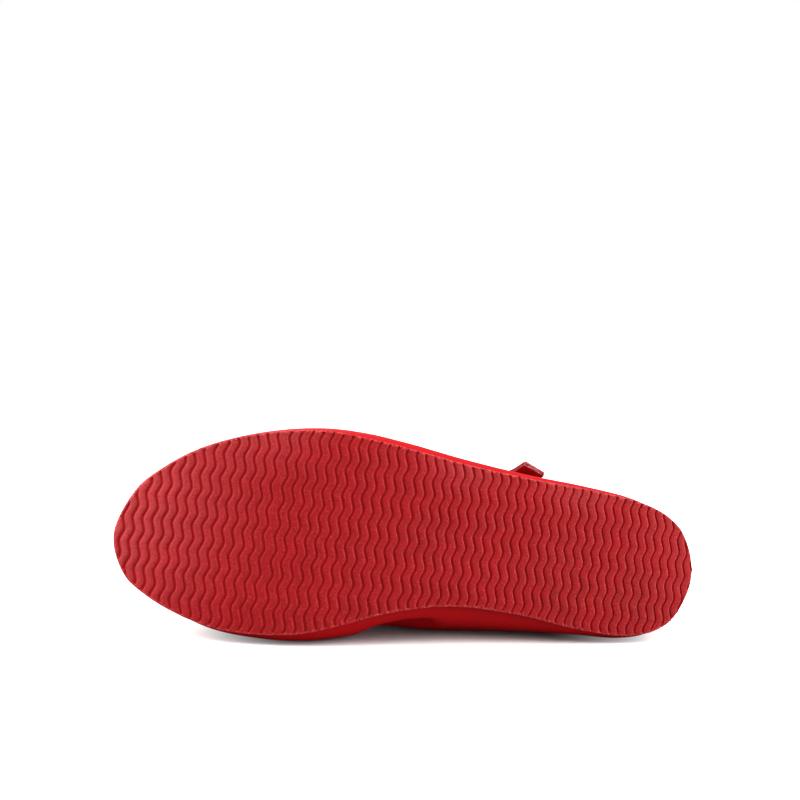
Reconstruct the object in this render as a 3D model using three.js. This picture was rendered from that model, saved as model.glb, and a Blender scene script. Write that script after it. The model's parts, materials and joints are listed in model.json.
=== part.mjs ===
// Mary jane shoe for the left foot, lying on its inner side with the sole to the front.
// Units are millimetres. The shoe's own axes: x from heel to toe, y to the outer side, z up from the tread.

import * as THREE from 'three';
import { mergeVertices } from 'three/addons/utils/BufferGeometryUtils.js';

// Driving sizes of the sole.
const SOLE_THICKNESS = 4.5;
const FLAT_START = 34;
const FLAT_END = 146;
const HEEL_SPRING_RADIUS = 260;
const TOE_SPRING_RADIUS = 262;

// Driving sizes of the upper and the insole.
const UPPER_WALL = 1.8;
const FEATHER_INSET = 0.8;
const HEEL_FAN_X = 40;
const TOE_FAN_X = 216;
const THROAT_X = 166;
const THROAT_ROUNDING = 28;
const INSOLE_THICKNESS = 3;
const INSOLE_CLEARANCE = 0.8;
const INSOLE_OVERHANG_SHARE = 1 / 3;
const SIDE_BLEND = 20;
const FIT_GAP = 0.3;

// Driving sizes of the strap.
const STRAP_WIDTH = 12;
const STRAP_THICKNESS = 2.2;

// Resting on the side: height that parts the low contacts from the quarter's, and the lean to start from.
const SIDE_CONTACT_HEIGHT = 30;
const SIDE_LEAN_GUESS = 10;

// Mesh steps.
const HEEL_TO_THROAT_STEPS = 24;
const THROAT_STEPS = 6;
const THROAT_TO_TOE_STEPS = 22;
const TUCK_STEPS = 4;
const SIDE_STEPS = 9;
const SOLE_STEPS_PER_ROW = 4;
const STRAP_STEPS_PER_ROW = 4;
const SETTLE_ROUNDS = 12;
const SEARCH_HALVINGS = 40;
const MERGE_DISTANCE = 1e-4;

// Half outlines seen from above: the sole's edge, and the widest line of the upper.
const OUTLINE_ROWS = [
  { x: 5, soleOuter: 16.6, soleInner: -20.0, upperOuter: 18.0, upperInner: -21.8 },
  { x: 14, soleOuter: 23.8, soleInner: -27.0, upperOuter: 25.2, upperInner: -29.2 },
  { x: 28, soleOuter: 28.4, soleInner: -30.7, upperOuter: 29.8, upperInner: -32.8 },
  { x: 50, soleOuter: 30.7, soleInner: -30.3, upperOuter: 32.2, upperInner: -33.8 },
  { x: 80, soleOuter: 31.9, soleInner: -26.8, upperOuter: 33.8, upperInner: -36.2 },
  { x: 110, soleOuter: 34.0, soleInner: -26.5, upperOuter: 36.6, upperInner: -38.6 },
  { x: 135, soleOuter: 37.0, soleInner: -31.5, upperOuter: 39.8, upperInner: -41.2 },
  { x: 155, soleOuter: 39.0, soleInner: -38.7, upperOuter: 41.5, upperInner: -45.2 },
  { x: 172, soleOuter: 39.7, soleInner: -44.5, upperOuter: 41.1, upperInner: -48.5 },
  { x: 190, soleOuter: 37.3, soleInner: -47.0, upperOuter: 37.9, upperInner: -49.5 },
  { x: 208, soleOuter: 32.2, soleInner: -46.7, upperOuter: 32.2, upperInner: -48.2 },
  { x: 224, soleOuter: 24.7, soleInner: -42.8, upperOuter: 24.5, upperInner: -43.2 },
  { x: 237, soleOuter: 14.9, soleInner: -37.2, upperOuter: 14.6, upperInner: -37.1 },
  { x: 246, soleOuter: 4.8, soleInner: -30.6, upperOuter: 4.5, upperInner: -30.3 },
];
const HEEL_END = { y: -1, soleX: -1.7, upperX: -3.8 };
const TOE_END = { y: -15.2, soleX: 252.5, upperX: 252.2 };

// Heights along the last: its ridge above the ground, which is imaginary over the opening, the widest
// lines above the sole, the fullness of the section, and the top edge of the quarters above the ground.
const LAST_ROWS = [
  { x: -4, ridge: 90, widestOuter: 11, widestInner: 8, fullness: 1.6, topline: 57 },
  { x: 20, ridge: 90, widestOuter: 10, widestInner: 4, fullness: 1.45, topline: 54 },
  { x: 45, ridge: 91, widestOuter: 10, widestInner: 5.5, fullness: 1.45, topline: 47.5 },
  { x: 75, ridge: 92, widestOuter: 10, widestInner: 13, fullness: 1.8, topline: 43.5 },
  { x: 105, ridge: 80, widestOuter: 10, widestInner: 17, fullness: 2.0, topline: 42 },
  { x: 135, ridge: 63, widestOuter: 9, widestInner: 14, fullness: 2.1, topline: 41.5 },
  { x: 166, ridge: 50, widestOuter: 8, widestInner: 4, fullness: 2.0, topline: 41.5 },
  { x: 195, ridge: 45, widestOuter: 7, widestInner: 4, fullness: 2.0, topline: 41.5 },
  { x: 216, ridge: 43.5, widestOuter: 7, widestInner: 5, fullness: 2.1, topline: 41.5 },
  { x: 252, ridge: 43.5, widestOuter: 7, widestInner: 7, fullness: 2.1, topline: 41.5 },
];

// Middle line of the strap, from its sewn root inside the inner quarter over the instep to its free end.
// The lean turns the strap's width about its own length, in degrees.
const STRAP_ROWS = [
  { x: 88, y: -32.6, z: 31, lean: 0 },
  { x: 90.5, y: -31.0, z: 41, lean: 0 },
  { x: 93.5, y: -28.6, z: 50, lean: 0 },
  { x: 99, y: -21, z: 64, lean: 0 },
  { x: 103, y: -8, z: 73, lean: 0 },
  { x: 103.5, y: 6, z: 74, lean: 0 },
  { x: 98, y: 20, z: 66.5, lean: 0 },
  { x: 86.4, y: 29, z: 54.5, lean: 0 },
  { x: 77.6, y: 31.8, z: 45.5, lean: -2 },
  { x: 73.4, y: 33.4, z: 37, lean: -6 },
  { x: 70.4, y: 37.2, z: 28, lean: -13 },
];

const LEATHER = new THREE.MeshStandardMaterial({ color: 0xb3141c, roughness: 0.5, metalness: 0 });
const RUBBER = new THREE.MeshStandardMaterial({ color: 0xaf2a2f, roughness: 0.75, metalness: 0 });
const LINING = new THREE.MeshStandardMaterial({ color: 0xb98a6c, roughness: 0.8, metalness: 0 });

// Smooth value of one column of a table at x, with slopes taken from the neighbouring rows.
function along(rows, column, x) {
  const last = rows.length - 1;
  const position = THREE.MathUtils.clamp(x, rows[0].x, rows[last].x);
  let i = 0;
  while (i < last - 1 && rows[i + 1].x < position) i += 1;
  const slope = (k) => {
    const before = rows[Math.max(k - 1, 0)];
    const after = rows[Math.min(k + 1, last)];
    return (after[column] - before[column]) / (after.x - before.x);
  };
  const span = rows[i + 1].x - rows[i].x;
  const t = (position - rows[i].x) / span;
  const rise = rows[i + 1][column] - rows[i][column];
  const bend = (slope(i) * span - rise) * (1 - t) + (rise - slope(i + 1) * span) * t;
  return rows[i][column] + rise * t + bend * t * (1 - t);
}

// Closed outline through the heel end, the outer rows, the toe end and the inner rows.
function closedOutline(outerColumn, innerColumn, endColumn) {
  const point = (x, y) => new THREE.Vector3(x, y, 0);
  const outer = OUTLINE_ROWS.map((row) => point(row.x, row[outerColumn]));
  const inner = OUTLINE_ROWS.map((row) => point(row.x, row[innerColumn])).reverse();
  const heel = point(HEEL_END[endColumn], HEEL_END.y);
  const toe = point(TOE_END[endColumn], TOE_END.y);
  return new THREE.CatmullRomCurve3([heel, ...outer, toe, ...inner], true, 'centripetal');
}

const SOLE_EDGE = closedOutline('soleOuter', 'soleInner', 'soleX');
const WIDEST_LINE = closedOutline('upperOuter', 'upperInner', 'upperX');
const LAST_STATION = OUTLINE_ROWS.length + 1;

// Outline point at a station, which counts table rows from the heel end; side is 1 outside, -1 inside.
function outlinePoint(curve, station, side) {
  const share = station / (2 * LAST_STATION);
  return curve.getPoint(side > 0 ? share : 1 - share);
}

// Direction out of the outline in the ground plane.
function outlineNormal(curve, station, side) {
  const share = station / (2 * LAST_STATION);
  const tangent = curve.getTangent(side > 0 ? share : (1 - share) % 1);
  return new THREE.Vector3(-tangent.y, tangent.x, 0).normalize();
}

function insetPoint(curve, station, side, inset) {
  return outlinePoint(curve, station, side).addScaledVector(outlineNormal(curve, station, side), -inset);
}

// Middle of the widest line at a station.
function midline(station) {
  const outer = outlinePoint(WIDEST_LINE, station, 1);
  const inner = outlinePoint(WIDEST_LINE, station, -1);
  return outer.add(inner).multiplyScalar(0.5);
}

// Station whose midline reaches x.
function stationAt(x) {
  let low = 0;
  let high = LAST_STATION;
  for (let i = 0; i < SEARCH_HALVINGS; i += 1) {
    const middle = (low + high) / 2;
    if (midline(middle).x < x) low = middle;
    else high = middle;
  }
  return low;
}

// Height of the tread side of the sole: flat, with arcs up at the heel end and under the toes.
function soleBottom(x) {
  const past = Math.max(x - FLAT_END, 0);
  const behind = Math.max(FLAT_START - x, 0);
  const toeRise = TOE_SPRING_RADIUS - Math.sqrt(TOE_SPRING_RADIUS ** 2 - past ** 2);
  const heelRise = HEEL_SPRING_RADIUS - Math.sqrt(HEEL_SPRING_RADIUS ** 2 - behind ** 2);
  return toeRise + heelRise;
}

const featherHeight = (x) => soleBottom(x) + SOLE_THICKNESS + FIT_GAP;

// Geometry of a triangle list with its shared corners merged and its collapsed triangles dropped.
function mergedGeometry(corners) {
  const loose = new THREE.BufferGeometry();
  const numbers = corners.flatMap((p) => [p.x, p.y, p.z]);
  loose.setAttribute('position', new THREE.Float32BufferAttribute(numbers, 3));
  const geometry = mergeVertices(loose, MERGE_DISTANCE);
  const kept = [];
  const index = geometry.index.array;
  for (let i = 0; i < index.length; i += 3) {
    const [a, b, c] = [index[i], index[i + 1], index[i + 2]];
    if (a !== b && b !== c && c !== a) kept.push(a, b, c);
  }
  geometry.setIndex(kept);
  geometry.computeVertexNormals();
  return geometry;
}

// Two triangles for each cell of a grid of points, facing out when columns run right and rows run up.
function gridCorners(columns) {
  const corners = [];
  for (let i = 0; i + 1 < columns.length; i += 1) {
    for (let j = 0; j + 1 < columns[i].length; j += 1) {
      const [a, b] = [columns[i][j], columns[i + 1][j]];
      const [c, d] = [columns[i + 1][j + 1], columns[i][j + 1]];
      corners.push(a, b, c, a, c, d);
    }
  }
  return corners;
}

// Solid wall behind an open surface: the surface, a copy moved in along its normals, and the rims between.
function thicken(surface, wall) {
  const place = surface.attributes.position;
  const normal = surface.attributes.normal;
  const outer = [];
  const inner = [];
  for (let i = 0; i < place.count; i += 1) {
    const p = new THREE.Vector3().fromBufferAttribute(place, i);
    outer.push(p);
    inner.push(p.clone().addScaledVector(new THREE.Vector3().fromBufferAttribute(normal, i), -wall));
  }
  const index = surface.index.array;
  const edges = new Set();
  for (let i = 0; i < index.length; i += 3) {
    for (let k = 0; k < 3; k += 1) edges.add(`${index[i + k]},${index[i + ((k + 1) % 3)]}`);
  }
  const corners = [];
  for (let i = 0; i < index.length; i += 3) {
    const [a, b, c] = [index[i], index[i + 1], index[i + 2]];
    corners.push(outer[a], outer[b], outer[c], inner[a], inner[c], inner[b]);
  }
  for (const edge of edges) {
    const [a, b] = edge.split(',').map(Number);
    if (edges.has(`${b},${a}`)) continue;
    corners.push(outer[b], outer[a], inner[a], outer[b], inner[a], inner[b]);
  }
  return mergedGeometry(corners);
}

// Solid between two heights inside an outline that is given by a station and a side.
function slab(edgePoint, bottom, top) {
  const corners = [];
  const steps = LAST_STATION * SOLE_STEPS_PER_ROW;
  const lifted = (station, side, height) => {
    const p = edgePoint(station, side);
    return p.setZ(height(p.x));
  };
  for (let i = 0; i < steps; i += 1) {
    const stations = [i / SOLE_STEPS_PER_ROW, (i + 1) / SOLE_STEPS_PER_ROW];
    const [outerLow, outerLowNext] = stations.map((s) => lifted(s, 1, bottom));
    const [innerLow, innerLowNext] = stations.map((s) => lifted(s, -1, bottom));
    const [outerHigh, outerHighNext] = stations.map((s) => lifted(s, 1, top));
    const [innerHigh, innerHighNext] = stations.map((s) => lifted(s, -1, top));
    corners.push(...gridCorners([[innerHigh, outerHigh], [innerHighNext, outerHighNext]]));
    corners.push(...gridCorners([[outerLow, innerLow], [outerLowNext, innerLowNext]]));
    corners.push(...gridCorners([[outerLowNext, outerHighNext], [outerLow, outerHigh]]));
    corners.push(...gridCorners([[innerLow, innerHigh], [innerLowNext, innerHighNext]]));
  }
  return mergedGeometry(corners);
}

// Section of the upper at one station and side, from the feather edge up to the top edge or the ridge.
function upperSection(station, side, throatStation) {
  const low = stationAt(HEEL_FAN_X);
  const high = stationAt(TOE_FAN_X);
  const spine = midline(THREE.MathUtils.clamp(station, low, high));
  const feather = insetPoint(SOLE_EDGE, station, side, FEATHER_INSET);
  feather.z = featherHeight(feather.x);
  const widest = outlinePoint(WIDEST_LINE, station, side);
  const outerShare = THREE.MathUtils.smoothstep(widest.y, spine.y - SIDE_BLEND, spine.y + SIDE_BLEND);
  const rise = THREE.MathUtils.lerp(
    along(LAST_ROWS, 'widestInner', widest.x), along(LAST_ROWS, 'widestOuter', widest.x), outerShare,
  );
  widest.z = featherHeight(widest.x) + rise;
  const ridge = spine.clone().setZ(along(LAST_ROWS, 'ridge', spine.x));
  const fullness = along(LAST_ROWS, 'fullness', widest.x);
  const points = [];
  for (let j = 0; j < TUCK_STEPS; j += 1) {
    const turn = (j / TUCK_STEPS) * (Math.PI / 2);
    const p = feather.clone().lerp(widest, Math.sin(turn));
    p.z = feather.z + (widest.z - feather.z) * (1 - Math.cos(turn));
    points.push(p);
  }
  const top = topAngle(station, widest, ridge, fullness, throatStation);
  for (let j = 0; j <= SIDE_STEPS; j += 1) {
    const angle = (j / SIDE_STEPS) * top;
    const closed = angle >= Math.PI / 2;
    const out = closed ? 0 : Math.cos(angle) ** (2 / fullness);
    const up = closed ? 1 : Math.sin(angle) ** (2 / fullness);
    const p = ridge.clone().lerp(widest, out);
    p.z = widest.z + (ridge.z - widest.z) * up;
    points.push(p);
  }
  return points;
}

// Angle on the section at which the leather ends: the top edge behind the throat, the ridge ahead of it.
function topAngle(station, widest, ridge, fullness, throatStation) {
  if (station >= throatStation) return Math.PI / 2;
  const edge = along(LAST_ROWS, 'topline', widest.x);
  const share = (edge - widest.z) / (ridge.z - widest.z);
  const side = Math.asin(share ** (fullness / 2));
  const behind = Math.min((THROAT_X - midline(station).x) / THROAT_ROUNDING, 1);
  const opened = Math.sqrt(1 - (1 - behind) ** 2);
  return THREE.MathUtils.lerp(Math.PI / 2, side, opened);
}

// Stations of the upper's sections: even steps, closing up towards the rounded throat.
function upperStations(throatStation) {
  const stations = [];
  const quarterEnd = stationAt(THROAT_X - THROAT_ROUNDING);
  for (let i = 0; i < HEEL_TO_THROAT_STEPS; i += 1) {
    stations.push((i / HEEL_TO_THROAT_STEPS) * quarterEnd);
  }
  for (let i = THROAT_STEPS; i > 0; i -= 1) {
    const back = THROAT_ROUNDING * (1 - Math.cos((i / THROAT_STEPS) * (Math.PI / 2)));
    stations.push(stationAt(THROAT_X - back));
  }
  for (let i = 0; i <= THROAT_TO_TOE_STEPS; i += 1) {
    stations.push(THREE.MathUtils.lerp(throatStation, LAST_STATION, i / THROAT_TO_TOE_STEPS));
  }
  return stations;
}

// Leather upper in one piece: open at the collar and throat, and underneath where the sole closes it.
function makeUpper() {
  const throatStation = stationAt(THROAT_X);
  const stations = upperStations(throatStation);
  const outer = stations.map((s) => upperSection(s, 1, throatStation));
  const inner = stations.map((s) => upperSection(s, -1, throatStation));
  const around = [...outer].reverse().concat(inner.slice(1));
  return thicken(mergedGeometry(gridCorners(around)), UPPER_WALL);
}

// Rubber outsole.
function makeOutsole() {
  const edge = (station, side) => outlinePoint(SOLE_EDGE, station, side);
  return slab(edge, soleBottom, (x) => soleBottom(x) + SOLE_THICKNESS);
}

// Insole board, set in from the upper's wall, further in where the wall stands straight up.
function makeInsole() {
  const edge = (station, side) => {
    const feather = insetPoint(SOLE_EDGE, station, side, FEATHER_INSET);
    const overhang = feather.distanceTo(outlinePoint(WIDEST_LINE, station, side));
    const inset = INSOLE_CLEARANCE + Math.max(UPPER_WALL - overhang * INSOLE_OVERHANG_SHARE, 0);
    return insetPoint(SOLE_EDGE, station, side, FEATHER_INSET + inset);
  };
  return slab(edge, featherHeight, (x) => featherHeight(x) + INSOLE_THICKNESS);
}

// Strap over the instep: a flat band along its middle line, turned by the lean of each row.
function makeStrap() {
  const path = new THREE.CatmullRomCurve3(STRAP_ROWS.map(({ x, y, z }) => new THREE.Vector3(x, y, z)));
  const steps = (STRAP_ROWS.length - 1) * STRAP_STEPS_PER_ROW;
  const leans = STRAP_ROWS.map((row, i) => ({ x: i, lean: row.lean }));
  const forward = new THREE.Vector3(1, 0, 0);
  const columns = [];
  for (let i = 0; i <= steps; i += 1) {
    const share = i / steps;
    const middle = path.getPoint(share);
    const run = path.getTangent(share);
    const across = forward.clone().addScaledVector(run, -forward.dot(run)).normalize();
    const lean = THREE.MathUtils.degToRad(along(leans, 'lean', share * (STRAP_ROWS.length - 1)));
    across.applyAxisAngle(run, lean);
    const towardsFoot = new THREE.Vector3().crossVectors(run, across).normalize();
    middle.addScaledVector(towardsFoot, STRAP_THICKNESS / 2);
    columns.push([-0.5, 0, 0.5].map((k) => middle.clone().addScaledVector(across, k * STRAP_WIDTH)));
  }
  return thicken(mergedGeometry(gridCorners(columns)), STRAP_THICKNESS);
}

function named(name, geometry, material) {
  const mesh = new THREE.Mesh(geometry, material);
  mesh.name = name;
  return mesh;
}

// Turn that lays the shoe on its inner side, so that ball, heel and quarter touch the floor together.
function layOnSide(upper) {
  const { position } = upper.geometry.attributes;
  const point = (_, i) => new THREE.Vector3().fromBufferAttribute(position, i);
  const points = Array.from({ length: position.count }, point);
  const zones = [
    points.filter((p) => p.x > FLAT_END),
    points.filter((p) => p.x < HEEL_FAN_X && p.z < SIDE_CONTACT_HEIGHT),
    points.filter((p) => p.x < FLAT_END && p.z > SIDE_CONTACT_HEIGHT),
  ];
  const axes = [new THREE.Vector3(-1, 0, 0), new THREE.Vector3(0, 0, 1), new THREE.Vector3(0, 1, 0)];
  const turn = new THREE.Quaternion().setFromRotationMatrix(new THREE.Matrix4().makeBasis(...axes));
  const lean = new THREE.Quaternion().setFromAxisAngle(axes[0], THREE.MathUtils.degToRad(SIDE_LEAN_GUESS));
  turn.premultiply(lean);
  const up = new THREE.Vector3(0, 0, 1);
  for (let round = 0; round < SETTLE_ROUNDS; round += 1) {
    const [ball, heel, quarter] = zones.map((zone) => zone
      .map((p) => p.clone().applyQuaternion(turn))
      .reduce((lowest, p) => (p.z < lowest.z ? p : lowest)));
    const normal = new THREE.Vector3().crossVectors(heel.sub(ball), quarter.sub(ball)).normalize();
    turn.premultiply(new THREE.Quaternion().setFromUnitVectors(normal, up));
  }
  return turn;
}

const meshes = [
  named('outsole', makeOutsole(), RUBBER),
  named('upper', makeUpper(), LEATHER),
  named('insole', makeInsole(), LINING),
  named('strap', makeStrap(), LEATHER),
];

const shoe = new THREE.Group();
shoe.add(...meshes);
shoe.quaternion.copy(layOnSide(meshes.find((mesh) => mesh.name === 'upper')));
shoe.updateMatrixWorld(true);
const box = new THREE.Box3().setFromObject(shoe, true);
const centre = box.getCenter(new THREE.Vector3());
shoe.position.set(-centre.x, -centre.y, -box.min.z);

const part = new THREE.Group();
part.add(shoe);

export default part;
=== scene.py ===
"""Looks of a red mary jane shoe that lies on its inner side with its wave tread to the front.

Sizes are millimetres in the shoe's own axes: x from heel to toe, y to the outer side, z up from the tread.
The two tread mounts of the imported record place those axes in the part's frame, which is in metres.
"""

import json
import logging
import math
from dataclasses import dataclass, field
from enum import Enum
from typing import NamedTuple, Sequence

import bpy
import numpy as np
from mathutils import Matrix, Vector
from mathutils.geometry import delaunay_2d_cdt
from mathutils.kdtree import KDTree

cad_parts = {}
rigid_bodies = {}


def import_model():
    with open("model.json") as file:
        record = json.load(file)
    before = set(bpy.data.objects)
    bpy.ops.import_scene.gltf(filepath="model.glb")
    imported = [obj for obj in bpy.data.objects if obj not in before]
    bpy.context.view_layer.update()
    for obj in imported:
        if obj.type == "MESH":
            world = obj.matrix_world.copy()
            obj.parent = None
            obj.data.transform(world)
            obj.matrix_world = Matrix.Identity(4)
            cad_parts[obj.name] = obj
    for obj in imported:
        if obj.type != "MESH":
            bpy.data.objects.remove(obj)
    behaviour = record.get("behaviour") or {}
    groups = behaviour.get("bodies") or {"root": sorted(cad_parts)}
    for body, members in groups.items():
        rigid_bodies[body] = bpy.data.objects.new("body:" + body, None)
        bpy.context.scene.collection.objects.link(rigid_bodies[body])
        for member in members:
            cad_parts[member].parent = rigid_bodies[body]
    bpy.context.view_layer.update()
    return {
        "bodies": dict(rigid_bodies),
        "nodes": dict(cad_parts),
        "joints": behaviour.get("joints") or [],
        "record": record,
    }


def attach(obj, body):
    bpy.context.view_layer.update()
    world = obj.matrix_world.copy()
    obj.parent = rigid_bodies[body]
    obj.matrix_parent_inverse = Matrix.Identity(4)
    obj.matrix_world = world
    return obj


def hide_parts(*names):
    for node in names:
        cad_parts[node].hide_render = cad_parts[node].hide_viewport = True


LOG = logging.getLogger("mary_jane")
MM = 0.001
BODY = "root"
HEEL_MOUNT_X = 54.0
WELD_DECIMALS = 4
TANGENT_STEP = 1e-4
SEARCH_HALVINGS = 40
PLAN_TOLERANCE = 1e-6
STATION_ROUNDING = 1e-9

# Sizes of the last that the solids share.
SOLE_THICKNESS = 4.5
FLAT_START = 34.0
FLAT_END = 146.0
HEEL_SPRING_RADIUS = 260.0
TOE_SPRING_RADIUS = 262.0
UPPER_WALL = 1.8
FEATHER_INSET = 0.8
HEEL_FAN_X = 40.0
TOE_FAN_X = 216.0
THROAT_X = 166.0
THROAT_ROUNDING = 28.0
SIDE_BLEND = 20.0
INSOLE_THICKNESS = 3.0
INSOLE_CLEARANCE = 0.8
INSOLE_OVERHANG_SHARE = 1 / 3
FIT_GAP = 0.3


class Slot(Enum):
    """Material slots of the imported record."""

    RUBBER = "sole_rubber"
    LEATHER = "upper_leather"
    LINING = "insole_lining"


class Side(Enum):
    """Sides of the shoe, as signs of y."""

    OUTER = 1
    INNER = -1


class Wall(Enum):
    """Parts of a closed wall, used as material places on its faces."""

    FACE = 0
    BACK = 1
    RIM = 2
    END = 3


class OutlineRow(NamedTuple):
    """Half widths of the sole's edge and of the upper's widest line at one x."""

    x: float
    sole_outer: float
    sole_inner: float
    upper_outer: float
    upper_inner: float


class LastRow(NamedTuple):
    """Heights of the last at one x, and how full its section is."""

    x: float
    ridge: float
    widest_outer: float
    widest_inner: float
    fullness: float
    topline: float


class StrapRow(NamedTuple):
    """Point on the strap's middle line, and the turn of its width about its length in degrees."""

    x: float
    y: float
    z: float
    lean: float


class Fold(NamedTuple):
    """Soft trough between two points, in plan if they have no height; a negative depth is a ridge."""

    start: tuple[float, ...]
    end: tuple[float, ...]
    width: float
    depth: float


class Burr(NamedTuple):
    """Crumb of rubber left on the sole's cut edge: its share of the outline, half width and height."""

    share: float
    half_width: float
    height: float


class Ramp(NamedTuple):
    """Soft change from start to end as a value goes from low to high."""

    low: float
    high: float
    start: float
    end: float


class Spot(NamedTuple):
    """Round patch on the sole: its centre in the shoe's axes and its radius."""

    x: float
    y: float
    z: float
    radius: float


OUTLINE_ROWS = (
    OutlineRow(5, 16.6, -20.0, 18.0, -21.8),
    OutlineRow(14, 23.8, -27.0, 25.2, -29.2),
    OutlineRow(28, 28.4, -30.7, 29.8, -32.8),
    OutlineRow(50, 30.7, -30.3, 32.2, -33.8),
    OutlineRow(80, 31.9, -26.8, 33.8, -36.2),
    OutlineRow(110, 34.0, -26.5, 36.6, -38.6),
    OutlineRow(135, 37.0, -31.5, 39.8, -41.2),
    OutlineRow(155, 39.0, -38.7, 41.5, -45.2),
    OutlineRow(172, 39.7, -44.5, 41.1, -48.5),
    OutlineRow(190, 37.3, -47.0, 37.9, -49.5),
    OutlineRow(208, 32.2, -46.7, 32.2, -48.2),
    OutlineRow(224, 24.7, -42.8, 24.5, -43.2),
    OutlineRow(237, 14.9, -37.2, 14.6, -37.1),
    OutlineRow(246, 4.8, -30.6, 4.5, -30.3),
)
HEEL_END_Y = -1.0
SOLE_HEEL_X = -1.7
UPPER_HEEL_X = -3.8
TOE_END_Y = -15.2
SOLE_TOE_X = 252.5
UPPER_TOE_X = 252.2
LAST_STATION = len(OUTLINE_ROWS) + 1

LAST_ROWS = (
    LastRow(-4, 90, 11, 8, 1.6, 57),
    LastRow(20, 90, 10, 4, 1.45, 54),
    LastRow(45, 91, 10, 5.5, 1.45, 47.5),
    LastRow(75, 92, 10, 13, 1.8, 43.5),
    LastRow(105, 80, 10, 17, 2.0, 42),
    LastRow(135, 63, 9, 14, 2.1, 41.5),
    LastRow(166, 50, 8, 4, 2.0, 41.5),
    LastRow(195, 45, 7, 4, 2.0, 41.5),
    LastRow(216, 43.5, 7, 5, 2.1, 41.5),
    LastRow(252, 43.5, 7, 7, 2.1, 41.5),
)

STRAP_ROWS = (
    StrapRow(88, -32.6, 31, 0),
    StrapRow(90.5, -31.0, 41, 0),
    StrapRow(93.5, -28.6, 50, 0),
    StrapRow(99, -21, 64, 0),
    StrapRow(103, -8, 73, 0),
    StrapRow(103.5, 6, 74, 0),
    StrapRow(98, 20, 66.5, 0),
    StrapRow(86.4, 29, 54.5, 0),
    StrapRow(77.6, 31.8, 45.5, -2),
    StrapRow(73.4, 33.4, 37, -6),
    StrapRow(70.4, 37.2, 28, -13),
)

WAIST_FOLDS = (
    Fold((146, -42.0, 17), (112, -37, 10.5), 4.5, 9.0),
    Fold((168, -47.5, 12), (138, -41, 12), 5.0, -0.7),
    Fold((128, -40.5, 22), (70, -35.5, 24), 6.0, -1.0),
    Fold((130, -40.5, 24), (90, -37.5, 25), 6.0, -0.4),
)

HEEL_BURRS = (
    Burr(0.0050, 0.0006, 0.5),
    Burr(0.9880, 0.0006, 0.25),
    Burr(0.9715, 0.0007, 0.45),
    Burr(0.9600, 0.0006, 0.55),
    Burr(0.9400, 0.0005, 0.35),
    Burr(0.9275, 0.0005, 0.25),
    Burr(0.0430, 0.0006, 0.3),
)

VAMP_CREASES = (
    Fold((178, 24), (183, -30), 2.5, 0.35),
    Fold((187, 20), (193, -28), 3.0, -0.2),
    Fold((194, 16), (201, -27), 2.5, 0.3),
)

# Fields of the outsole that its groove tree takes as inputs; the depths go in as metres.
GROOVE_SIZES = (
    *("first_groove", "pitch", "wave_length", "wave_height", "wave_lean", "wave_point", "wave_centre"),
    *("heel_tilt", "toe_tilt", "tilt_start", "tilt_end", "heel_run", "toe_run", "heel_floor", "toe_floor"),
    *("heel_mouth", "toe_mouth", "heel_rim", "toe_rim", "crown_power", "rim_width", "rub_width"),
)
GROOVE_DEPTHS = ("heel_depth", "toe_depth", "rib_crown")

# Noise detail and fading in the shared effects.
GRIT_DETAIL = 3.0
PATCH_DETAIL = 4.0
SPOT_FADE = Ramp(0.2, 1.0, 1.0, 0.0)
SPOT_GAPS = Ramp(0.42, 0.62, 1.0, 0.0)


def along(rows: Sequence[NamedTuple], column: str, x: float) -> float:
    """Smooth value of one column of a table, with slopes taken from the neighbouring rows.

    Args:
        rows: Table rows in order of x.
        column: Name of the column.
        x: Place along the shoe, held within the table.

    Returns:
        The column's value at x.
    """
    last = len(rows) - 1
    position = min(max(x, rows[0].x), rows[last].x)
    i = 0
    while i < last - 1 and rows[i + 1].x < position:
        i += 1

    def slope(k: int) -> float:
        """Slope through the rows on both sides of row k."""
        before, after = rows[max(k - 1, 0)], rows[min(k + 1, last)]
        return (getattr(after, column) - getattr(before, column)) / (after.x - before.x)

    span = rows[i + 1].x - rows[i].x
    t = (position - rows[i].x) / span
    rise = getattr(rows[i + 1], column) - getattr(rows[i], column)
    bend = (slope(i) * span - rise) * (1 - t) + (rise - slope(i + 1) * span) * t
    return getattr(rows[i], column) + rise * t + bend * t * (1 - t)


def smoothstep(value: float, low: float, high: float) -> float:
    """Soft step from 0 at low to 1 at high."""
    t = min(max((value - low) / (high - low), 0.0), 1.0)
    return t * t * (3 - 2 * t)


def unit(vectors: np.ndarray) -> np.ndarray:
    """Vectors scaled to length one, along the last axis."""
    return vectors / np.linalg.norm(vectors, axis=-1, keepdims=True)


def per_metre(size: float) -> float:
    """How many times a size in millimetres goes into a metre."""
    return 1 / (size * MM)


def trough_depth(points: np.ndarray, folds: Sequence[Fold]) -> np.ndarray:
    """Depth of soft troughs at points, each deepest half way along.

    Args:
        points: Points in shoe millimetres.
        folds: The troughs.

    Returns:
        One depth for each point.
    """
    depth = np.zeros(len(points))
    for fold in folds:
        start = np.array(fold.start)
        run = np.array(fold.end) - start
        places = points[:, : len(start)] - start
        share = np.clip((places @ run) / (run @ run), 0, 1)
        away = np.linalg.norm(places - share[:, None] * run, axis=1)
        depth += fold.depth * np.sin(share * math.pi) * np.exp(-((away / fold.width) ** 2))
    return depth


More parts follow.
